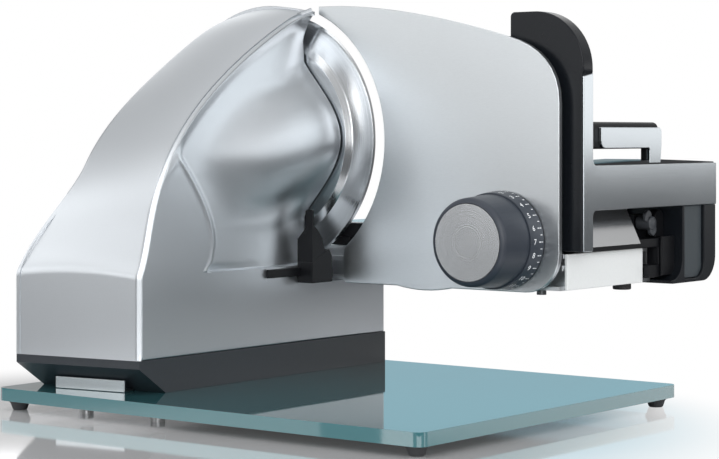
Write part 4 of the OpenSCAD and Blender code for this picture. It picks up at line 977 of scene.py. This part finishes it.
# Motor, gear, switch, pins and screws: stock parts of a small machine, most of them
# inside the tower. They keep their turned, cast and stamped shapes.
raw_steel = grained("raw_steel", (0.5, 0.51, 0.52), 0.35, 1.0, size=300, tone=0.2)
raw_aluminium = grained("raw_aluminium", (0.66, 0.67, 0.68), 0.38, 1.0, stretch=(1, 8, 1), size=200,
                        tone=0.15)
copper_wire = grained("copper_wire", (0.72, 0.32, 0.14), 0.3, 1.0, stretch=(1, 30, 1), size=120, tone=0.4)
black_moulding = grained("black_moulding", (0.006, 0.0065, 0.008), 0.42, size=800, tone=0.4, relief=0.08)
set_shader(black_moulding, {"Specular IOR Level": 0.2})
pale_moulding = grained("pale_moulding", (0.7, 0.72, 0.72), 0.42, size=600, tone=0.08, relief=0.05)
soft_rubber = grained("soft_rubber", (0.02, 0.02, 0.022), 0.7, size=600, tone=0.3, relief=0.12)


def dress(finish, *nodes):
    for node in nodes:
        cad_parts[node].data.materials.clear()
        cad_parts[node].data.materials.append(finish)


dress(raw_steel, "base_bolts", "case_screws", "motor_can", "motor_stator", "motor_rotor", "motor_shaft",
      "motor_bearings", "capacitor_clip", "blade_shaft", "blade_bearings", "guide_pins",
      "knob_stud", "knob_screw", "cam_follower", "motor_pinion")
dress(raw_aluminium, "gear_case_cover", "gear_frame", "motor_end_bell", "motor_cradle", "blade_flange",
      "capacitor")
dress(copper_wire, "motor_windings")
dark_steel = grained("dark_steel", (0.1, 0.105, 0.11), 0.3, 1.0, size=300, tone=0.2)
dress(dark_steel, "rail_bolts")
dress(pale_moulding, "drive_gear", "motor_fan", "knob_cam")
dress(black_moulding, "switch_body", "switch_bezel", "hold_button", "run_button")
dress(soft_rubber, "cord_gland")


# Blade: a hollow-ground disc of stainless steel, 170 mm across, pressed to a shallow
# dish, with a step and a ground bevel. Its screw cap sits in the middle.
def turned_finish(name, color, roughness, centre, size, relief):
    """Metal turned or ground on a spindle, with fine rings about an axis along Y through the centre."""
    finish = new_finish(name, color, roughness, 1.0)
    tree = finish.node_tree
    place = add_node(tree, "ShaderNodeTexCoord")
    middle = add_node(tree, "ShaderNodeVectorMath", {
        0: place.outputs["Object"], 1: centre}, operation="SUBTRACT")
    flat = add_node(tree, "ShaderNodeVectorMath", {0: middle.outputs[0], 1: (1, 0, 1)}, operation="MULTIPLY")
    radius = add_node(tree, "ShaderNodeVectorMath", {0: flat.outputs[0]}, operation="LENGTH")
    rings = add_node(tree, "ShaderNodeTexNoise", {
        "W": radius.outputs["Value"], "Scale": size, "Detail": 3}, noise_dimensions="1D").outputs["Fac"]
    shade = add_node(tree, "ShaderNodeMapRange", {"Value": rings, "To Min": 0.86, "To Max": 1.08})
    tint = add_node(tree, "ShaderNodeVectorMath", {
        0: color, "Scale": shade.outputs["Result"]}, operation="SCALE")
    gloss = add_node(tree, "ShaderNodeMapRange", {
        "Value": rings, "To Min": roughness - 0.05, "To Max": roughness + 0.06})
    bump = add_node(tree, "ShaderNodeBump", {"Strength": relief, "Distance": 0.0003, "Height": rings})
    set_shader(finish, {"Base Color": tint.outputs[0], "Roughness": gloss.outputs["Result"],
                        "Normal": bump.outputs["Normal"]})
    return finish


def spun(section, x, z, steps=192):
    """A closed ring about an axis along Y through (x, z), from a closed loop of (radius, y) points."""
    shape = bmesh.new()
    rings = []
    for i in range(steps):
        a = 2 * math.pi * i / steps
        places = [at(x + r * math.cos(a), y, z + r * math.sin(a)) for r, y in section]
        rings.append([shape.verts.new(p) for p in places])
    bridged(shape, rings + rings[:1])
    return mesh_from(shape, "spun")


BLADE_R = 85.0
GRIND_R = 69.0
STEP_R = 65.0
BORE_R = 10.2
HOLLOW = 0.3
ground_face = []
for i in range(13):
    k = i / 12
    hollow = HOLLOW * 4 * k * (1 - k)
    ground_face.append((mix(GRIND_R + 1, BLADE_R - 1.6, k), mix(-3.15, -0.62, k) + hollow))
blade_section = [(BORE_R, -6), (STEP_R - 1.2, -6), (STEP_R - 0.5, -5.9), (STEP_R + 0.2, -5.5)]
blade_section += [(GRIND_R - 0.8, -3.9), (GRIND_R - 0.1, -3.45)] + ground_face
blade_section += [(BLADE_R - 1.2, -0.5), (BLADE_R, -0.1), (BLADE_R, 0), (GRIND_R, -1.35)]
blade_section += [(STEP_R, -4), (BORE_R, -4)]
blade_centre = at(0, 0, BLADE_Z)
blade_steel = turned_finish("blade_steel", (0.66, 0.68, 0.7), 0.16, blade_centre, 900, 0.04)
blade_mesh = spun(blade_section, 0, BLADE_Z)
shown("blade_disc", shaded(blade_mesh, 14), "blade", "polished_steel", ["blade"], blade_steel)
shown_soft("blade_cap", "blade_screw", 0.4, "blade", "polished_steel", blade_steel)


# Slice deflector: a black moulded fin close behind the blade edge that turns the
# slices down, on a flat arm fixed to the tower.
def rounded_outline(corners, steps=7):
    """A closed outline through corners (a, b, r), each rounded with its radius r."""
    result = []
    count = len(corners)
    for i, (a, b, r) in enumerate(corners):
        here = np.array((a, b), float)
        if r <= 0:
            result.append(tuple(here))
            continue
        back = np.array(corners[i - 1][:2], float) - here
        onward = np.array(corners[(i + 1) % count][:2], float) - here
        back = back / np.linalg.norm(back)
        onward = onward / np.linalg.norm(onward)
        half = math.acos(float(np.clip(back @ onward, -1, 1))) / 2
        middle = (back + onward) / np.linalg.norm(back + onward)
        centre = here + middle * r / math.sin(half)
        start = here + back * r / math.tan(half) - centre
        end = here + onward * r / math.tan(half) - centre
        for k in range(steps + 1):
            spoke = start * (1 - k / steps) + end * (k / steps)
            result.append(tuple(centre + spoke / np.linalg.norm(spoke) * r))
    return result


def prism(outline, axis, low, high):
    """A closed solid with one outline along an axis of the machine."""
    shape = bmesh.new()
    ends = []
    for c in (low, high):
        if axis == "x":
            ends.append([shape.verts.new(at(c, a, b)) for a, b in outline])
        else:
            ends.append([shape.verts.new(at(a, c, b)) for a, b in outline])
    count = len(outline)
    shape.faces.new(ends[0])
    shape.faces.new(list(reversed(ends[1])))
    for i in range(count):
        j = (i + 1) % count
        shape.faces.new((ends[0][i], ends[1][i], ends[1][j], ends[0][j]))
    return mesh_from(shape, "prism")


def soft_prism(outline, axis, low, high, width, segments=3, angle=40):
    return settled(prism(outline, axis, low, high), rounded_edges(width, segments, angle))


def crossed(first, second):
    """What two closed solids have in common."""
    other = placed("other", second)

    def change(holder):
        common = holder.modifiers.new("common", "BOOLEAN")
        common.operation = "INTERSECT"
        common.object = other

    result = settled(first, change)
    bpy.data.objects.remove(other)
    return result


FIN_X = 46.2
FIN_FAR = 58.7
FIN_Y = -33.5
FIN_LOW = 74.2
FIN_TOP = 122.0
fin_front = [(FIN_X, FIN_LOW), (FIN_X, 102.5), (51.4, 108.2), (52.8, 110.6), (53.0, 121.0), (54.0, FIN_TOP),
             (58.2, FIN_TOP), (FIN_FAR, 121.4), (FIN_FAR, FIN_LOW)]
fin_side = [(FIN_Y, FIN_LOW), (FIN_Y, FIN_TOP), (-31.7, FIN_TOP), (-31.6, 111.6), (-27.7, 108.6),
            (-22.8, 103.1), (-20.8, 96.4), (-20.4, 93.5), (-15.9, 95.2), (-13.6, 91.0), (-12.6, 79.0),
            (-12.6, FIN_LOW)]
boot_side = [(FIN_Y - 0.5, 74.0), (FIN_Y - 0.5, 87.6), (-15.9, 95.9), (-13.2, 91.2), (-12.2, 79.0),
             (-13.4, 74.0)]
fin_mesh = crossed(prism(fin_front, "y", FIN_Y, -9.5), prism(fin_side, "x", FIN_X, FIN_FAR))
fin_mesh = joined(settled(fin_mesh, rounded_edges(0.5, 3, 20)),
                  soft_prism(boot_side, "x", FIN_X, FIN_FAR + 0.5, 0.7, angle=20))
shown("deflector_fin", shaded(fin_mesh), "base", "black_plastic", ["slice_deflector"], black_moulding)
shown_soft("deflector_bar", "deflector_arm", 0.4, "base", "black_plastic", black_moulding)


# Guide rail: an extruded aluminium profile across the machine, closed at the
# operator's end by a pale moulded cap with a rubber bumper below.
drawn_aluminium = grained("drawn_aluminium", (0.66, 0.68, 0.7), 0.32, 1.0, stretch=(1, 40, 40), size=45,
                          tone=0.12, relief=0.05)
shown_soft("rail_profile", "guide_rail", 0.3, "base", "aluminium", drawn_aluminium, 2)
shown_soft("rail_cap", "rail_end_cap", 0.5, "base", "pale_plastic", pale_moulding)
shown_soft("bumper", "rail_bumper", 0.8, "base", "rubber", soft_rubber)


# Stop plate: a cast and ground aluminium plate with a rolled rim. Food rests
# against it, and it slides away from the blade to set the thickness.
ground_plate = grained("ground_plate", (0.62, 0.65, 0.67), 0.33, 1.0, stretch=(1, 1, 6), size=380, tone=0.1,
                       gloss_change=0.08, relief=0.03)
shown_soft("stop_plate_cast", "stop_plate", 1.3, "stop_plate", "cast_silver", ground_plate, 4)


# Thickness knob: a slate-grey moulded barrel with a printed scale ring at its foot
# and a spun aluminium disc in its face. Marks and numbers are pad-printed.
KNOB_X = 188.0
KNOB_Z = 105.0
RING_R = 31.0
SCALE_STEP = math.radians(16)
knob_moulding = grained("knob_moulding", (0.026, 0.033, 0.046), 0.4, size=900, tone=0.2, relief=0.05)
spun_disc = turned_finish("spun_disc", (0.7, 0.72, 0.74), 0.24, at(KNOB_X, 0, KNOB_Z), 1400, 0.08)
printed_ink = grained("printed_ink", (0.8, 0.82, 0.84), 0.5, size=1200, tone=0.08, relief=0.0)
shown_soft("knob_barrel", "thickness_knob", 0.3, "knob", "knob_plastic", knob_moulding, 2)
shown_soft("knob_scale", "scale_ring", 0.35, "knob", "knob_plastic", knob_moulding)
shown_soft("knob_face", "knob_disc", 0.35, "knob", "aluminium", spun_disc)

RING_LAND = -7.4
RING_FRONT = -17.4
RING_FRONT_R = 30.0
INK_T = 0.07
SCALE_END = 20
ZERO_ANGLE = math.radians(112)
MARK_BACK = -6.0
NUMBER_Y = -13.4
NUMBER_SIZE = 5.0


def ring_r(y):
    return mix(RING_R, RING_FRONT_R, limited((y - RING_LAND) / (RING_FRONT - RING_LAND)))


def mark(back, front, width):
    """One printed line along the ring, at the angle zero and from the knob's axis."""
    corners = []
    for lift in (0.0, INK_T):
        for y in (back, front):
            for side in (-width / 2, width / 2):
                corners.append(((ring_r(y) + lift) / 1000, y / 1000, side / 1000))
    mesh = bpy.data.meshes.new("mark")
    mesh.from_pydata(corners, [], BOX_FACES)
    return mesh


def printed_number(value, angle):
    """One number of the scale, as thin ink wrapped round the ring."""
    letters = bpy.data.curves.new("number", "FONT")
    letters.body = str(value)
    letters.size = NUMBER_SIZE
    letters.extrude = INK_T / 2
    letters.align_x = "CENTER"
    letters.align_y = "CENTER"
    letters.resolution_u = 3
    mesh = settled(letters)
    for vert in mesh.vertices:
        y = NUMBER_Y + vert.co.x
        r = ring_r(y) + INK_T / 2 + vert.co.z
        a = angle + vert.co.y / RING_R
        vert.co = at(KNOB_X + r * math.cos(a), y, KNOB_Z + r * math.sin(a))
    shape = bmesh.new()
    shape.from_mesh(mesh)
    bmesh.ops.remove_doubles(shape, verts=shape.verts, dist=1e-6)
    return mesh_from(shape, "number")


knob_axis = at(KNOB_X, 0, KNOB_Z)
main_marks = repeated("main_marks", mark(MARK_BACK, -9.6, 0.55), printed_ink, [knob_axis] * (SCALE_END + 1),
                      -ZERO_ANGLE, SCALE_STEP)
half_marks = repeated("half_marks", mark(MARK_BACK, -8.0, 0.5), printed_ink, [knob_axis] * SCALE_END,
                      SCALE_STEP / 2 - ZERO_ANGLE, SCALE_STEP)
numbers = [printed_number(n, ZERO_ANGLE - n * SCALE_STEP) for n in range(SCALE_END + 1)]
shown("scale_print", joined(main_marks, half_marks, *numbers), "knob", "knob_plastic", [], printed_ink)


# Carriage: a black floor that glides on the rail, a steel food tray on it, a black
# bar and hood to the operator's side, and a bright trim over their front.
slate_moulding = grained("slate_moulding", (0.006, 0.0075, 0.010), 0.3, size=700, tone=0.3, relief=0.05)
set_shader(slate_moulding, {"Specular IOR Level": 0.25})
# A lighter grey than the slate moulding, as painted light on the hood's inner wall.
lining_painted_light = grained("lining_painted_light", (0.036, 0.046, 0.053), 0.45, size=500, tone=0.15, relief=0.05)
tray_steel = grained("tray_steel", (0.7, 0.71, 0.72), 0.22, 1.0, stretch=(14, 1, 14), size=110, tone=0.1,
                     relief=0.03)
trim_metal = grained("trim_metal", (0.58, 0.62, 0.65), 0.13, 1.0, stretch=(1, 6, 1), size=300, tone=0.08,
                     gloss_change=0.05, relief=0.015)
floor_end = soft_block((40.6, 4.5, 97.4), (60.2, 126, 103), 0.6)
carriage_base = joined(softened("carriage_floor", 0.6), floor_end)
shown("carriage_base", shaded(carriage_base), "carriage", "black_plastic", ["carriage_floor"], black_moulding)
glide_cover = soft_block((232.1, 114, 78.4), (234.4, 130.8, 104.2), 0.8)
shown("glides", shaded(joined(softened("glide_blocks", 0.5), glide_cover)), "carriage", "black_plastic",
      ["glide_blocks"], black_moulding)

# The tray is folded from steel sheet: a raised floor, a back wall, and an apron that
# leans down to the operator. Under its floor a black block fills the space, so the gap
# below the tray shows dark.
TRAY_LEFT = 40.0
TRAY_RIGHT = 186.0
TRAY_FLOOR = 113.0
tray_floor = block((TRAY_LEFT, 3.2, TRAY_FLOOR - 1), (TRAY_RIGHT, 127.0, TRAY_FLOOR))
tray_wall = block((TRAY_LEFT, 127.0, 103.0), (200, 128.0, 123.5))
apron_side = [(233.2, 100.6), (234.2, 100.6), (223.2, 123.6), (222.2, 123.6)]
tray_apron = prism(apron_side, "y", 17.8, 87)
tray_parts = [settled(part, rounded_edges(0.3, 2)) for part in (tray_floor, tray_wall, tray_apron)]
shown("tray_sheet", shaded(joined(*tray_parts)), "carriage", "steel", ["food_tray"], tray_steel)
tray_carrier = soft_block((TRAY_LEFT + 0.6, 4.2, 103.1), (TRAY_RIGHT - 1, 126.6, TRAY_FLOOR - 1.1), 0.8)
shown("tray_carrier", shaded(tray_carrier), "carriage", "black_plastic", [], black_moulding)

# The bar is moulded with a crowned lid. The hood is a thin shell with a round outer
# corner and an inner wall that bends out under the rail.
BAR_LOW = 124.0
BAR_TOP = 152.0
BAR_BACK = 196.0
TRIM_BACK = 236.0
CARRIAGE_FACE = 241.0
GUARD_NEAR = 5.8
GUARD_FAR = 17.4
HOOD_OUT = 176.0
HOOD_LOW = 73.0
HOOD_BACK = 96.0
bar_body = soft_block((BAR_BACK, GUARD_FAR + 0.2, BAR_LOW), (TRIM_BACK - 0.1, HOOD_OUT, BAR_TOP - 0.6), 0.8)
lid_side = rounded_outline([(17.8, 151.2, 0), (17.8, 152.7, 0), (62, 153.9, 40), (104, 154.9, 30),
                            (140, 153.9, 40), (175.4, 152.8, 0.6), (175.4, 151.2, 0)])
bar_lid = soft_prism(lid_side, "x", BAR_BACK + 1, CARRIAGE_FACE - 1.6, 0.5)
shown("carriage_bar", shaded(joined(bar_body, bar_lid)), "carriage", "slate_plastic", ["carriage_frame"],
      slate_moulding)
HOOD_TOP = 123.9
HOOD_FLOOR = 75.5
hood_side = rounded_outline([(HOOD_OUT, HOOD_TOP, 0), (HOOD_OUT, HOOD_LOW, 17), (118, HOOD_LOW, 0),
                             (116, HOOD_FLOOR, 0), (131, HOOD_FLOOR, 13.5), (131, HOOD_TOP, 0),
                             (133.6, HOOD_TOP, 0), (133.6, HOOD_FLOOR, 2), (160, HOOD_FLOOR, 11),
                             (160, HOOD_TOP, 0)], 12)
hood_shell = soft_prism(hood_side, "x", HOOD_BACK, CARRIAGE_FACE - 0.6, 0.6)
hood_end = block((HOOD_BACK + 0.5, 133, 75), (HOOD_BACK + 3, 160.5, 123.8))
carriage_shell = joined(hood_shell, hood_end)
shown("carriage_shell", shaded(carriage_shell), "carriage", "slate_plastic", ["carriage_hood"],
      slate_moulding)
# The lining stands near the front of the hood, lighter than the slate hood: painted light on the inner wall
# that shows in the opening.
hood_lining = soft_block((235, 133.8, 75.7), (238.4, 159.8, 123.8), 0.6)
shown("hood_lining", shaded(hood_lining), "carriage", "slate_plastic", [], lining_painted_light)

# The thumb guard stands at the slice side, with a large round corner. The bright trim
# is pressed from sheet and clipped over the guard's front and the bar.
TRIM_TOP = 207.0
SHEET = 1.1
TRIM_LOW = 98.8
GUARD_BACK = 187.0
GUARD_TOP = 248.0
guard_face = CARRIAGE_FACE - SHEET - 0.1
guard_side = rounded_outline([(GUARD_BACK, TRIM_LOW, 1), (guard_face, TRIM_LOW, 0),
                              (guard_face, TRIM_TOP - 0.4, 0), (CARRIAGE_FACE, TRIM_TOP + 2.6, 0),
                              (CARRIAGE_FACE, GUARD_TOP, 36), (GUARD_BACK, GUARD_TOP, 3)], 20)
guard_mesh = soft_prism(guard_side, "y", GUARD_NEAR, GUARD_FAR, 1.5, 4, 50)
shown("guard_upright", shaded(guard_mesh), "carriage", "slate_plastic", ["thumb_guard"], slate_moulding)
trim_side = rounded_outline([(GUARD_NEAR + 0.5, TRIM_LOW, 1), (GUARD_FAR, TRIM_LOW, 1),
                             (GUARD_FAR, BAR_LOW, 4), (HOOD_OUT, BAR_LOW, 0.5), (HOOD_OUT, BAR_TOP, 0.5),
                             (GUARD_FAR, BAR_TOP, 4), (GUARD_FAR, TRIM_TOP + 2, 0),
                             (GUARD_NEAR + 0.5, TRIM_TOP, 0)])
trim_sheet = soft_prism(trim_side, "x", CARRIAGE_FACE - SHEET, CARRIAGE_FACE, 0.5)
trim_back = block((TRIM_BACK, GUARD_FAR + 0.3, BAR_LOW + 0.6),
                  (CARRIAGE_FACE - SHEET, HOOD_OUT - 0.4, BAR_TOP - 0.9))
shown("bright_trim", shaded(joined(trim_sheet, trim_back)), "carriage", "silver_plastic", ["carriage_trim"],
      trim_metal)

# The handle is a rounded black grip on one thin post, with a bright plate in front.
GRIP_BACK = 212.0
GRIP_FACE = 238.0
GRIP_LOW = 162.0
GRIP_TOP = 179.0
GRIP_END = 103.0
grip_side = rounded_outline([(GRIP_BACK, GRIP_LOW, 5), (GRIP_FACE, GRIP_LOW, 1.5), (GRIP_FACE, GRIP_TOP, 4),
                             (GRIP_BACK, GRIP_TOP, 6)])
grip_bar = soft_prism(grip_side, "y", GUARD_FAR + 0.2, GRIP_END, 2.0, 4, 50)
grip_post = soft_block((233.6, 87.5, BAR_TOP + 0.2), (GRIP_FACE, 102, GRIP_LOW + 4), 0.6)
shown("handle_bar", shaded(joined(grip_bar, grip_post)), "carriage", "black_plastic", ["handle_grip"],
      black_moulding)
plate_side = rounded_outline([(28, 162.4, 4.5), (87.6, 162.4, 1.5), (87.6, 152.6, 0.4), (101.4, 152.6, 0.4),
                              (102.8, 164, 4), (102.8, 175.6, 3.2), (28, 175.6, 1.2)])
plate_mesh = soft_prism(plate_side, "x", GRIP_FACE, GRIP_FACE + 2.5, 0.9, 4)
shown("handle_plate", shaded(plate_mesh), "carriage", "silver_plastic", ["handle_inlay"], trim_metal)

# The wing screw clamps the carriage. Its holder is a black block with a round boss.
WING_Y = 109.0
WING_Z = 113.0
WING_FRONT = 219.4
WING_TILT = math.radians(35)
wing_grey = grained("wing_grey", (0.05, 0.055, 0.062), 0.34, size=700, tone=0.2, relief=0.05)
boss_side = rounded_outline([(119.6, 103.1, 0), (131, 103.1, 0), (131, 121.5, 5.5), (119.6, 121.5, 5.5)])
boss = soft_prism(boss_side, "x", WING_FRONT, 226, 0.8)
shown("wing_holder", shaded(joined(softened("wing_bracket", 0.5), boss)), "carriage", "black_plastic",
      ["wing_bracket"], black_moulding)


def along_x(mesh, x, y, z):
    """A mesh turned about Z, laid along X from a point of the machine."""
    for vert in mesh.vertices:
        vert.co = at(x, y, z) + Vector((vert.co.z, vert.co.y, -vert.co.x))
    return mesh


def wing_lobe(side):
    round_r = 2.4
    leaf = rounded_outline([(0, -1.9, 0), (5.4, -4.5, round_r), (9.2, -2.6, round_r), (9.2, 2.6, round_r),
                            (5.4, 4.5, round_r), (0, 1.9, 0)])
    outline = []
    for r, w in leaf:
        along = side * r
        outline.append((WING_Y - along * math.sin(WING_TILT) + w * math.cos(WING_TILT),
                        WING_Z + along * math.cos(WING_TILT) + w * math.sin(WING_TILT)))
    return soft_prism(outline, "x", 226.6, 229.2, 0.7)


HUB_R = 4.5
PIN_R = 3.0
hub_profile = [(0, -13.4), (PIN_R, -13.4), (PIN_R, 0), (HUB_R - 0.4, 0), (HUB_R, 0.5), (HUB_R, 10.4),
               (HUB_R - 0.8, 11.4), (0, 11.8)]
wing_hub = turned([(r / 1000, x / 1000) for r, x in hub_profile], 40)
wing_mesh = joined(along_x(wing_hub, WING_FRONT + 0.1, WING_Y, WING_Z), wing_lobe(1), wing_lobe(-1))
shown("wing", shaded(wing_mesh), "wing_screw", "slate_plastic", ["wing_screw"], wing_grey)
